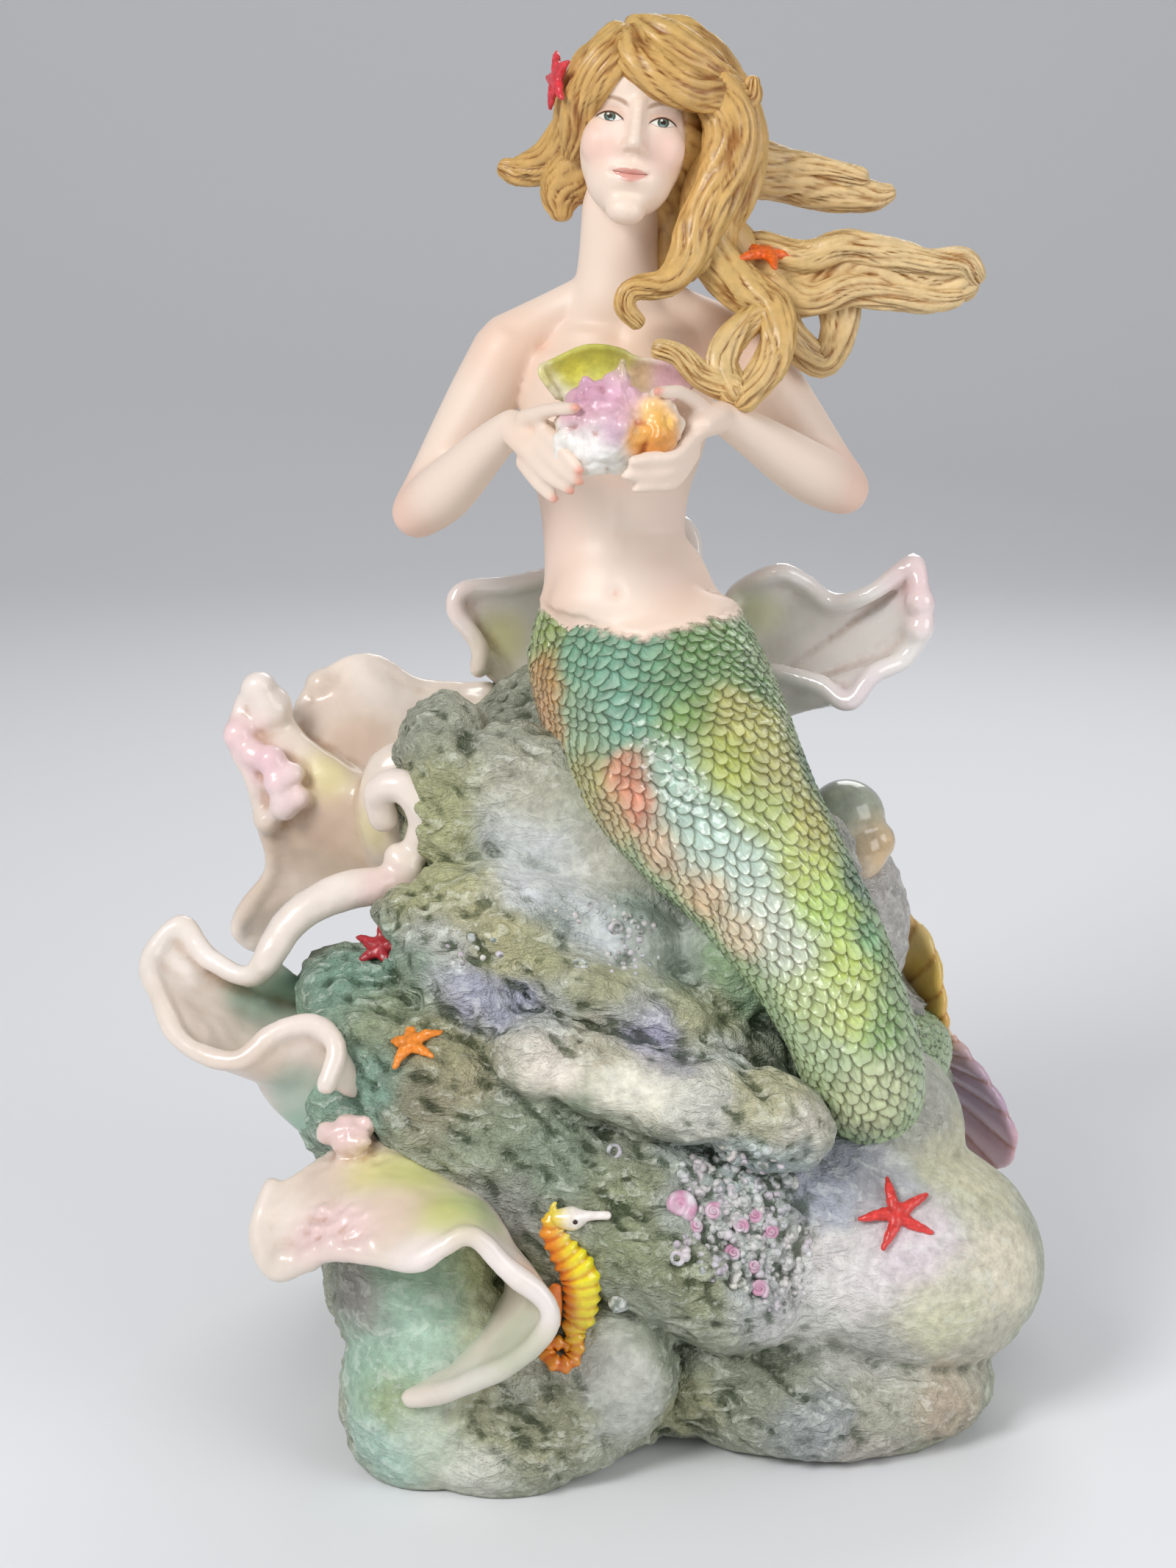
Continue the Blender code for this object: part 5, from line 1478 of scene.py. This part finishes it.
LOCKS = (
    # Beside the face on the figure's right, and the wisps behind it.
    (
        (13, -13, 421, 6, 4), (6, -17, 415, 6, 4.5), (-1, -14, 406, 5.4, 4.6), (-3.5, -8, 397, 4.4, 4.4),
        (-5, -4, 390, 2.6, 3),
    ),
    (
        (10, -10, 423, 5, 4), (3, -10, 416, 5.6, 4.5), (-3, -6, 405, 6, 5), (-5, 1, 393, 5.4, 5),
        (-10, 7, 386, 3.6, 3.6),
    ),
    ((-4, 2, 394, 8, 5), (-12, 8, 387, 6, 4.4), (-21, 12, 384, 4.2, 3.4), (-26, 13, 385, 2.4, 2.2)),
    ((-2, 4, 388, 8, 6), (-6, 6, 381, 8, 6), (-8, 6, 375.5, 6, 4.6), (-8, 5, 371.5, 3.2, 2.8)),
    (
        (8, 1, 420.5, 5, 4), (0.5, 1, 416, 4.6, 4.6), (-1.6, 1, 408, 4.6, 6), (-1.6, 3, 396, 4.6, 6.5),
        (0, 7, 384, 4.6, 6),
    ),
    (
        (9, 7, 420.5, 5, 4), (1.4, 9, 415.5, 4.8, 5.6), (-0.6, 9, 405, 4.6, 7), (1.5, 11, 392, 5, 7),
        (5, 12, 380, 5, 6),
    ),
    # Over the forehead, ending in an upturned curl.
    (
        (12, -12, 423, 6, 4), (15, -18, 416.5, 6.6, 4.6), (25, -19.5, 410, 6.6, 5),
        (35, -14, 407, 6.4, 5), (43, -8, 405.5, 5.2, 4.4), (48.5, -6, 406, 3.8, 3.4),
        (49.5, -6.5, 410.5, 1.8, 1.8),
    ),
    (
        (14, -9, 424.5, 6, 4), (23, -14, 420.5, 7, 4.6), (33, -11, 414, 7, 5), (41, -5, 406, 7, 5),
        (46, 1, 396, 6, 5),
    ),
    (
        (14, -4, 425, 6, 4), (25, -6, 422.5, 7.5, 4.4), (35, -2, 417, 7, 5), (42, 4, 407, 7.5, 5.5),
        (47, 8, 396, 7.5, 5.5), (49, 10, 382, 6.5, 5),
    ),
    # Down beside the face to the pointed curl on the neck.
    (
        (38, -9, 408, 7, 5.5), (42, -11, 399, 7.5, 6), (42, -12, 389, 7.5, 6), (39, -14, 378, 7, 6),
        (33, -18, 367, 6.4, 5), (29, -21, 358, 5, 4), (23, -24.5, 351.5, 3.8, 3.4),
        (13, -26, 350, 3, 2.8), (11, -26.5, 345, 2.6, 2.4), (15, -25, 340, 1.8, 1.8),
    ),
    (
        (44, -4, 404, 7, 6), (47, -5, 392, 7, 6), (44, -7, 378, 7, 6), (37, -12, 366, 6, 5),
        (33, -15, 357, 4.4, 4),
    ),
    # Over the shoulder to the chest, with a ring and a small curl at its end.
    (
        (40, -4, 384, 10, 8), (37, -9, 370, 9, 7), (38, -12, 359, 7, 6), (46, -15, 350, 7, 5),
        (55, -19, 344, 6, 4.5), (57, -24.5, 336.5, 5, 4), (54.5, -28.5, 328, 5, 4),
        (46, -33.5, 318, 4, 3.6),
    ),
    (
        (54, -18, 343, 4, 3.5), (46, -24.5, 338.5, 4, 3.5), (40, -29.5, 329, 4.8, 3.5),
        (44, -33.5, 320, 4.4, 3.6),
    ),
    (
        (43, -33, 321, 4, 3.4), (34, -32.5, 325, 3.6, 3.2), (27, -31.5, 331, 2.8, 2.6),
        (21, -31, 332.5, 2.6, 2.4),
    ),
    # The two flying locks, each of several strands, and the loop under the lower one.
    (
        (40, 6, 386, 10, 8), (58, 10, 383, 7.5, 6), (73, 10, 379, 6.5, 5), (87, 9, 376.5, 4.6, 4),
        (93, 8.5, 377.5, 2.2, 2.2),
    ),
    ((46, 4, 388, 7, 6), (60, 8, 386.5, 4.6, 4.6), (72, 8, 384, 3.8, 4), (84, 7, 382, 2.6, 3)),
    (
        (36, 0, 374, 8, 7), (48, -3, 356, 8, 6), (62, -4, 350, 9, 5), (75, -4, 354, 11, 5),
        (86, -4, 354, 10, 5), (98, -5, 352, 8, 5), (107, -5, 352, 7, 5), (115, -5, 353, 7.5, 5),
    ),
    (
        (52, -2, 360, 6, 5), (66, -6, 358, 5, 4.4), (78, -7, 362, 4.4, 4.4), (90, -8, 360, 4.4, 4),
        (104, -9, 357, 4, 4), (114, -9, 357, 4, 4), (118, -8, 353, 3, 3),
    ),
    (
        (56, -5, 350, 6, 5), (68, -8, 346, 4.6, 4.4), (80, -9, 349, 4.6, 4.4), (92, -9, 347, 4, 4),
        (104, -9, 346, 3.6, 3.6), (112, -8, 347, 3, 3),
    ),
    (
        (56, -6, 348, 7, 5), (61, -6, 336, 5, 4), (72, -5, 327, 4.5, 4), (77, -5, 336, 5, 4),
        (77, -4, 348, 7, 4),
    ),
)
CAP = (
    (19, 9, 410, 17, 17.5),
    (19, 9, 404, 20.6, 21),
    (20, 9, 397, 21, 22),
    (23, 9, 387, 20, 20),
    (27, 9, 372, 14, 12),
    (27, 9, 358, 10, 9),
)
SWEPT = ((31, 8, 402, 13, 14), (33, 8, 391, 14, 14.5), (35, 8, 378, 13, 13))
clay = [
    roll(CAP, sides=64, facing=(0, 1, 0), relief=strands(22, 1.0)),
    roll(SWEPT, sides=56, relief=strands(18, 1.0, 2.0)),
]
for number, lock in enumerate(LOCKS):
    clay.append(roll(lock, steps=6, sides=72, relief=strands(8 + number % 3, 1.35, number * 1.7)))

# The combed locks round the back run from the parting down to the nape.
BACK_LOCKS = 26
PARTING = unit(np.array((-8.0, -12.0, 22.0)))
ASIDE = unit(np.cross(PARTING, (0.0, 1.0, 0.2)))
ACROSS = np.cross(PARTING, ASIDE)
FACE_WAY = unit(np.array((-0.2, -1.0, -0.35)))
for number in range(BACK_LOCKS):
    start = math.tau * number / BACK_LOCKS
    rows = []
    for step, polar in enumerate((8, 26, 46, 66, 86, 106, 124, 140)):
        turn = start + 0.35 * math.sin(0.022 * polar + number * 0.9)
        way = math.sin(math.radians(polar)) * (math.cos(turn) * ASIDE + math.sin(turn) * ACROSS)
        way = way + math.cos(math.radians(polar)) * PARTING
        spot = np.array((19.5, 9, 405)) + way * (20.6, 21.4, 20.3)
        if way.dot(FACE_WAY) > 0.42 or spot[2] < 377:
            break
        rows.append((*spot, 3.5 + 2.4 * math.sin(math.pi * (step + 1) / 9), 3.4))
    if len(rows) > 2:
        clay.append(roll(rows, steps=6, sides=36, facing=way, relief=strands(8, 0.9, number)))
hair = joined(clay, "hair")
places, normals = points_of(hair)
set_points(hair, np.clip(places, low, high))
places, normals = points_of(hair)
lay_paint(
    hair,
    washes(
        places,
        (208, 166, 98),
        (
            ((100, -4, 354), (28, 14, 18), (226, 200, 152)),
            ((60, -4, 356), (16, 14, 16), (216, 184, 124)),
            ((76, 9, 380), (24, 14, 12), (224, 196, 146)),
            ((14, -4, 428), (18, 18, 8), (202, 166, 98)),
            ((44, -14, 350), (14, 12, 20), (206, 170, 104)),
            ((30, -30, 328), (20, 10, 14), (222, 192, 134)),
            ((68, -5, 332), (14, 10, 14), (216, 186, 132)),
            ((30, 20, 384), (26, 20, 20), (196, 160, 98)),
        ),
    ),
)
hair.data.materials.append(
    painted_material(
        "hair paint",
        0.4,
        (240.0, 0.16),
        ((176, 136, 84), 0.25, 1.1),
        grain=(600.0, 0.06),
        bump=0.1,
        coat=0.12,
    )
)
bpy.ops.object.shade_smooth()
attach(hair, "root")
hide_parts("mermaid_figurine")


# The conch in the hands. A knobbed shell modelled by hand, with its lip flared wide behind it, painted
# white, rose and orange, with a yellow-green inside to the lip and painted highlights of pale yellow on
# the orange.
clay = [
    lump((5, -50, 311), (15, 12.5, 13.5)),
    lump((-1, -51, 306), (10, 10, 9)),
    lump((18.5, -50, 311), (9.5, 9.5, 10.5)),
    lump((20, -53, 306), (6, 6, 6)),
    roll(((8, -50, 316, 8.5), (9.5, -53, 323, 5.2), (10, -54.5, 330.5, 1.4))),
    roll(((0, -49, 315, 7), (-0.6, -51, 320, 4.2), (-1, -52.5, 325.5, 1.5))),
    roll(((18, -50, 316, 6), (20, -51, 319, 4), (21.5, -52, 321.5, 2))),
]
clay += leaf(
    (
        ((-9, -38, 319), (-6, -32, 316), (0, -44, 312)),
        ((-14, -39, 327), (-8, -31, 320), (0, -44, 315)),
        ((-10, -36, 329.5), (-4, -29, 322), (3, -44, 318)),
        ((0, -35, 333.5), (4, -28, 325), (7, -44, 319)),
        ((9, -34, 332.5), (10, -28, 324), (11, -44, 318)),
        ((14, -33, 330), (14, -28, 322), (13, -44, 317)),
        ((24, -32, 328), (20, -28, 321), (15, -44, 316)),
        ((33, -30, 322), (26, -30, 317), (17, -44, 312)),
    ),
    lip=1.1,
    thickness=1.8,
)
conch = skinned(joined(clay, "conch"), 0.65, 4)
places, normals = points_of(conch)
body = np.clip(1 - (places[:, 1] + 42) / 4, 0, 1)
creases = np.exp(-((lumpy(places, 8, 8.0) / 0.14) ** 2))
wrinkles = 1.7 * lumpy(places, 6.0, 3.0, (1.7, 1, 0.8)) - 0.9 * creases
set_points(conch, places + normals * (body * (wrinkles + 0.4 * lumpy(places, 2.4, 6.0)))[:, None])
places, normals = points_of(conch)
# The pale yellow spots on the orange knob at the right are painted highlights.
CONCH_STAINS = (
    (845, 512, 4, 224, 186, 200), (796, 528, 3, 218, 174, 194), (845, 528, 5, 226, 176, 198),
    (845, 550, 5, 222, 170, 190), (800, 535, 6, 208, 152, 176), (790, 565, 5, 214, 168, 180),
    (830, 590, 4, 206, 168, 186), (800, 600, 5, 244, 238, 234), (770, 610, 5, 240, 236, 228),
    (820, 625, 6, 244, 242, 238), (860, 560, 4, 236, 200, 190), (880, 560, 3, 250, 214, 130),
    (885, 572, 4, 242, 176, 76), (905, 575, 2.5, 250, 206, 110), (900, 590, 5, 222, 146, 44),
    (870, 595, 4, 240, 176, 80), (890, 612, 4, 196, 120, 36), (780, 500, 5, 206, 200, 58),
    (772, 488, 4, 190, 186, 84), (800, 480, 4, 178, 174, 70), (820, 478, 4, 184, 180, 72),
    (840, 486, 4, 182, 174, 84), (820, 492, 5, 196, 192, 66), (850, 500, 4, 184, 174, 88),
    (870, 515, 4, 190, 160, 120), (910, 520, 5, 206, 160, 168), (745, 515, 3, 214, 206, 130),
    (755, 535, 4, 232, 226, 196),
)
stains = spots_on(conch, CONCH_STAINS)
lay_paint(conch, washes(places, (236, 222, 206), stains, 0.05))
lay_mask(conch, "hollow", dents(conch))
conch.data.materials.append(
    painted_material(
        "conch paint",
        0.34,
        (260.0, 0.2),
        ((206, 160, 150), 0.1, 0.9),
        grain=(900.0, 0.15),
        bump=0.15,
        coat=0.3,
    )
)
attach(conch, "root")
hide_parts("mermaid_figurine")


# The starfish. Rolled by hand from five thin arms each, stuck to the rock and the hair with slip, and
# painted red or orange with a rough brush.
STARFISH = (
    # Place, the way it faces, its turn, its reach and its colour.
    ((-9.5, -12, 411), (-0.93, -0.32, 0.15), 10, 8.8, (212, 52, 62)),
    ((54, -9, 360), (0.15, -0.3, 0.95), 30, 11, (230, 102, 30)),
    ((1220, 1653), (0.1, -0.75, 0.65), 18, 11.5, (218, 58, 52)),
    ((560, 1420), (-0.3, -0.5, 0.8), 40, 9.5, (236, 138, 40)),
    ((517, 1290), (-0.2, -0.7, 0.7), 20, 8.5, (172, 34, 44)),
)
rock_tree = tree_of(rock)
ARMS = 5
clay = []
colours = []
for place, facing, turn, reach, colour in STARFISH:
    outward = Vector(facing).normalized()
    if len(place) == 2:
        place = seen(rock_tree, *place)[0] + np.array(outward) * 0.9
    place = Vector(place)
    aside = outward.orthogonal().normalized()
    for number in range(ARMS):
        way = aside.copy()
        way.rotate(Matrix.Rotation(math.radians(turn) + math.tau * number / ARMS, 3, outward))
        bend = outward.cross(way) * 0.16 * reach * math.sin(number * 2.1 + turn)
        clay.append(
            roll(
                (
                    (*place, 2.3, 1.7),
                    (*(place + way * reach * 0.35), 2.0, 1.6),
                    (*(place + way * reach * 0.7 + bend * 0.5), 1.45, 1.3),
                    (*(place + way * reach + bend - outward * 0.5), 0.8, 0.8),
                ),
                steps=5,
                sides=16,
                facing=outward,
            )
        )
    colours.append((place, colour))
starfish = skinned(joined(clay, "starfish"), 0.45, 3)
places, normals = points_of(starfish)
set_points(starfish, places + normals * (0.35 * lumpy(places, 1.6, 4.0))[:, None])
places, normals = points_of(starfish)
paint = np.zeros((len(places), 3))
nearest = np.full(len(places), np.inf)
for place, colour in colours:
    distance = np.linalg.norm(places - np.array(place), axis=1)
    closer = distance < nearest
    nearest[closer] = distance[closer]
    paint[closer] = pigment(*colour)
lay_paint(starfish, paint)
lay_mask(starfish, "hollow", dents(starfish))
starfish.data.materials.append(
    painted_material(
        "starfish paint",
        0.34,
        (500.0, 0.4),
        ((220, 120, 90), 0.0, 0.9),
        grain=(1500.0, 0.15),
        bump=0.2,
        coat=0.3,
    )
)
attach(starfish, "root")
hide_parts("mermaid_figurine")


# The seahorse. Modelled flat against the front of the rock with its tail in a ring, tooled with ribs, and
# painted bright yellow on the belly and orange down the back, with a white face, under a clear glaze.
SEAHORSE = (
    # Place in the frame and half width, from the crown down to the end of the curled tail.
    ((752, 1652), 2.6),
    ((752, 1672), 3.6),
    ((763, 1694), 4.2),
    ((779, 1716), 5.3),
    ((791, 1740), 5.6),
    ((789, 1766), 4.7),
    ((781, 1790), 3.2),
    ((782, 1812), 2.7),
    ((785, 1834), 2.5),
    ((777, 1850), 2.4),
    ((763, 1855), 2.3),
    ((748, 1848), 2.2),
    ((744, 1834), 2.1),
    ((751, 1820), 2.0),
    ((765, 1817), 1.8),
    ((773, 1827), 1.4),
)


def on_rock(spots):
    """Places in the frame laid on the rock, on one even slope through what they meet."""
    hits = np.array([seen(rock_tree, *spot)[0] for spot in spots])
    slope = np.polyfit(hits[:, 2], hits[:, 1], 1)
    forward = np.polyval(slope, hits[:, 2])
    sunk = np.minimum(forward, np.median(hits[:, 1] - forward) + forward) - 1.2
    hits[:, 1] = np.minimum(sunk, hits[:, 1] - 0.6)
    return hits


def ribs(along, angle, radius):
    """Raised hoops round the body, with a knot on each at the sides."""
    hoop = np.sin(along * math.tau / 3.3)
    return 0.4 * np.clip(hoop, -0.5, 1) * (1 + 0.5 * np.cos(2 * angle)), 0.45 - 0.6 * hoop


spine = on_rock([spot for spot, _ in SEAHORSE])
rows = [(*spot, wide, 0.8 * wide) for spot, (_, wide) in zip(spine, SEAHORSE)]
clay = [roll(rows, steps=12, sides=32, relief=ribs)]
crown = spine[0]
face = on_rock([(760, 1652), (781, 1654), (800, 1650), (826, 1647)])
face[:, 1] = crown[1] - 0.5
clay.append(roll([(*spot, wide) for spot, wide in zip(face, (2.8, 3.6, 1.6, 1.3))], steps=8, sides=24))
tuft = (((0.4, 0, 0.5), 1.8), ((0.2, 0, 3.4), 1.0), ((0.8, 0, 4.6), 0.5))
clay.append(roll([(*(crown + np.array(lift)), wide) for lift, wide in tuft], sides=12))
fin = on_rock([(757, 1738), (752, 1752), (757, 1772)])
fin[:, 1] = spine[4][1] - 1.5
clay.append(roll([(*spot, wide, 0.9) for spot, wide in zip(fin, (1.6, 3.0, 1.6))], steps=8, sides=20))
seahorse = joined(clay, "seahorse")
places, normals = points_of(seahorse)
stains = [
    (spine[1] + (-2.5, -2, 0), (3.4, 6, 6), (236, 140, 30)),
    (spine[2] + (-3.5, -2, 0), (3.2, 6, 6), (234, 128, 26)),
    (spine[3] + (-4.5, -2, 0), (3.4, 6, 6), (232, 120, 24)),
    (spine[4] + (-5, -2, 0), (3.2, 6, 7), (230, 112, 24)),
    (spine[5] + (-4, -2, 0), (3.0, 6, 6), (232, 124, 26)),
    (spine[2] + (3, -2, 0), (4, 6, 5), (240, 226, 40)),
    (spine[3] + (3, -2, 0), (5, 6, 5), (244, 232, 34)),
    (spine[4] + (3, -2, 0), (5, 6, 6), (246, 232, 30)),
    (spine[5] + (3, -2, 0), (4, 6, 5), (240, 220, 30)),
    (spine[6], (3, 6, 5), (238, 206, 34)),
    (spine[9], (5, 6, 5), (236, 130, 28)),
    (spine[12], (5, 6, 5), (236, 140, 34)),
    (spine[8], (3, 6, 4), (240, 180, 40)),
    (spine[0], (4, 6, 4), (240, 224, 60)),
    (face[1], (4, 6, 4), (246, 238, 232)),
    (face[2] + (2, 0, 0), (6, 6, 4), (248, 240, 236)),
    (fin[1] + (-1.5, 0, 0), (3, 5, 7), (232, 118, 22)),
]
lay_paint(seahorse, washes(places, (238, 190, 40), stains, 0.03))
seahorse.data.materials.append(
    painted_material(
        "seahorse paint",
        0.22,
        (500.0, 0.14),
        ((230, 160, 60), 0.3, 1.5),
        grain=(420.0, 0.15),
        coat=0.8,
    )
)
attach(seahorse, "root")
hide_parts("mermaid_figurine")
eye_place = face[1] + (0.4, -3.6, 0.3)
pupil = joined([lump(eye_place, (0.75, 0.5, 0.75))], "seahorse_eye")
dark, tree, shader = new_material("seahorse eye paint")
feed(tree, shader, {"Base Color": (*pigment(60, 40, 38), 1), "Roughness": 0.15})
pupil.data.materials.append(dark)
bpy.ops.object.shade_smooth()
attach(pupil, "root")
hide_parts("mermaid_figurine")


# The sea snails. One large smooth one behind the tail, with a grey-green shell and an orange foot, and
# small rose-coloured spirals on the front of the rock, each a thin roll of clay wound up and pressed on.
clay = [
    lump((84, 8, 178.5), (13, 12, 13), (20, 0)),
    lump((89, 2, 169), (8.5, 8, 9.5), (20, 0)),
    lump((93, 4, 172), (7, 7, 7)),
]
snail = skinned(joined(clay, "snail"), 0.9, 6)
places, normals = points_of(snail)
lay_paint(
    snail,
    washes(
        places,
        (176, 176, 160),
        (
            ((84, 0, 186), (12, 14, 8), (158, 168, 150)),
            ((92, -4, 176), (7, 8, 8), (206, 184, 150)),
            ((95, -2, 168), (6, 8, 8), (228, 190, 136)),
            ((88, -6, 163), (6, 8, 5), (234, 218, 200)),
        ),
    ),
)
lay_mask(snail, "hollow", dents(snail))
snail.data.materials.append(
    painted_material(
        "snail paint",
        0.2,
        (160.0, 0.3),
        ((150, 140, 130), 0.1, 1.0),
        grain=(420.0, 0.15),
        coat=0.9,
    )
)
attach(snail, "root")
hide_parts("mermaid_figurine")


def spiral(across, down, reach, lift):
    """A wound shell pressed on the rock at a place in the frame."""
    place, outward = seen(rock_tree, across, down)
    outward = Vector(unit(outward + unit(np.array((0, -0.9, 0.5)))))
    aside = outward.orthogonal().normalized()
    rows = []
    for step in range(21):
        share = step / 20
        way = aside.copy()
        way.rotate(Matrix.Rotation(across + math.tau * 2.4 * share, 3, outward))
        out = reach * (1 - share) ** 1.3
        spot = Vector(place) + way * out * 0.68 + outward * lift * share
        rows.append((*spot, 0.36 * reach * (1 - 0.72 * share)))
    return roll(rows, steps=3, sides=14, facing=outward)


clay = [spiral(925, 1640, 5.4, 1.6)]
for across, down, reach in (
    (1028, 1653, 3.1),
    (1007, 1667, 2.8),
    (1049, 1674, 2.8),
    (946, 1669, 3.0),
    (971, 1648, 3.0),
    (997, 1705, 2.8),
    (1024, 1722, 2.4),
    (1032, 1754, 3.3),
):
    clay.append(spiral(across, down, reach, 2.6))
spirals = joined(clay, "spiral_shells")
places, normals = points_of(spirals)
rose = np.clip(0.6 + 1.2 * lumpy(places, 3.5, 2.0), 0, 1)[:, None]
lay_paint(spirals, pigment(204, 150, 176) * rose + pigment(226, 218, 224) * (1 - rose))
spirals.data.attributes.remove(spirals.data.attributes["hollow"])
lay_mask(spirals, "hollow", dents(spirals))
spirals.data.materials.append(
    painted_material("spiral paint", 0.4, (500.0, 0.2), ((170, 120, 130), 0.0, 0.8), grain=(420.0, 0.15))
)
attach(spirals, "root")
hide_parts("mermaid_figurine")


# The crust. Beads of slip trailed thickly on the front of the rock among the shells, a few more on the
# ledge above, and a limpet beside the seahorse. All are left chalky white.
PATCHES = (
    # Middle and half sizes of each patch in the frame, the number of beads and their largest radius.
    ((1000, 1600), (78, 44), 56, 2.0),
    ((1015, 1690), (84, 62), 110, 1.9),
    ((1060, 1755), (40, 34), 34, 1.6),
    ((862, 1262), (30, 20), 16, 1.5),
    ((856, 1306), (40, 20), 16, 1.2),
    ((640, 1290), (44, 26), 9, 1.6),
    ((800, 1240), (60, 16), 9, 1.2),
)
GOLDEN_TURN = 2.39996
WORM_TUBES = ((921, 1712), (838, 1262), (790, 1312), (836, 1566), (960, 1590))
clay = []
for patch, (middle, spread, count, largest) in enumerate(PATCHES):
    for number in range(count):
        turn = GOLDEN_TURN * number
        out = math.sqrt((number + 0.5) / count)
        wobble = noise.noise((number * 0.7, patch * 3.1, 0.5))
        across = middle[0] + spread[0] * out * math.cos(turn) * (1 + 0.3 * wobble)
        down = middle[1] + spread[1] * out * math.sin(turn) * (1 - 0.3 * wobble)
        place, outward = seen(rock_tree, across, down)
        size = largest * (0.6 + 0.8 * abs(noise.noise((number * 1.3, 2.0, patch))))
        half = (size, size * 1.1, size * (0.8 + 0.5 * abs(wobble)))
        clay.append(lump(place - outward * size * 0.45, half, sides=12))
# Small worm tubes: rings of clay with a dark mouth.
for across, down in WORM_TUBES:
    place, outward = seen(rock_tree, across, down)
    bpy.ops.object.select_all(action="DESELECT")
    bpy.ops.mesh.primitive_torus_add(
        major_segments=20,
        minor_segments=10,
        major_radius=1.7 * MM,
        minor_radius=0.75 * MM,
        location=Vector(place + outward * 0.2) * MM,
        rotation=Vector(outward).to_track_quat("Z", "Y").to_euler(),
    )
    clay.append(bpy.context.object)
LIMPET = (841, 1772)
place, outward = seen(rock_tree, *LIMPET)
rows = [(*(place + outward * height), wide) for height, wide in ((-1, 3.6), (1.2, 2.6), (3.2, 0.7))]
clay.append(roll(rows, sides=24, relief=strands(12, 0.35)))
crust = joined(clay, "crust")
places, normals = points_of(crust)
swell = lumpy(places, 2.2, 5.0)
set_points(crust, places + normals * (0.35 * swell)[:, None])
CHALK = ((206, 190, 204), (196, 206, 204), (222, 218, 208))
stains = [((-5, -110, 75), (12, 20, 8), (150, 152, 150))]
stains += [(place, (4, 4, 4), tint) for place, tint in zip(places[::97], CHALK * 99)]
lay_paint(crust, washes(places, (204, 206, 202), stains, 0.1))
crust.data.attributes.remove(crust.data.attributes["hollow"])
lay_mask(crust, "hollow", 0.4 - 0.9 * swell)
crust.data.materials.append(
    painted_material("crust paint", 0.5, (500.0, 0.3), ((150, 158, 150), 0.2, 1.0), grain=(900.0, 0.3))
)
bpy.ops.object.shade_smooth()
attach(crust, "root")
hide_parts("mermaid_figurine")


# The studio round the figurine: a pale sheet that runs back and curves up, soft lamps and the camera.
SHEET_LENGTH, SHEET_WIDTH, SHEET_FRONT = 6.0, 8.0, -1.8
LEVEL_RUN, BEND_RADIUS = 3.4, 0.8
bpy.ops.object.select_all(action="DESELECT")
bpy.ops.mesh.primitive_grid_add(x_subdivisions=1, y_subdivisions=60, size=1)
backdrop = bpy.context.object
backdrop.name = "backdrop"
for vertex in backdrop.data.vertices:
    run = (vertex.co.y + 0.5) * SHEET_LENGTH
    past = max(run - LEVEL_RUN, 0)
    bend = min(past / BEND_RADIUS, math.pi / 2)
    back = SHEET_FRONT + min(run, LEVEL_RUN) + BEND_RADIUS * math.sin(bend)
    up = BEND_RADIUS * (1 - math.cos(bend)) + max(past - BEND_RADIUS * math.pi / 2, 0)
    vertex.co = (vertex.co.x * SHEET_WIDTH, back, up)
bpy.ops.object.shade_smooth()
paper, tree, shader = new_material("pale paper")
feed(tree, shader, {"Base Color": (0.82, 0.83, 0.85, 1), "Roughness": 0.85})
backdrop.data.materials.append(paper)
SENSOR_HEIGHT = 36.0


def pointed(item, place, aim):
    item.location = place
    item.rotation_euler = (Vector(aim) - Vector(place)).to_track_quat("-Z", "Y").to_euler()


for name, place, power, width in (
    ("key light", (-0.8, -1.0, 1.1), 14.5, 0.55),
    ("fill light", (1.1, -0.8, 0.7), 6.5, 0.9),
    ("back light", (0.3, 1.1, 1.1), 6.0, 0.8),
):
    bpy.ops.object.light_add(type="AREA")
    lamp = bpy.context.object
    lamp.name = name
    lamp.data.energy = power
    lamp.data.size = width
    pointed(lamp, place, (0, 0, 0.2))
bpy.ops.object.camera_add()
camera = bpy.context.object
camera.data.sensor_fit = "VERTICAL"
camera.data.sensor_height = SENSOR_HEIGHT
camera.data.lens = SENSOR_HEIGHT * FOCAL / FRAME_HEIGHT
pointed(camera, EYE, AIM)
bpy.context.scene.camera = camera
world = bpy.data.worlds.new("studio")
world.use_nodes = True
world.node_tree.nodes["Background"].inputs["Color"].default_value = (0.86, 0.87, 0.9, 1)
world.node_tree.nodes["Background"].inputs["Strength"].default_value = 0.42
bpy.context.scene.world = world
bpy.context.scene.view_settings.view_transform = "Standard"
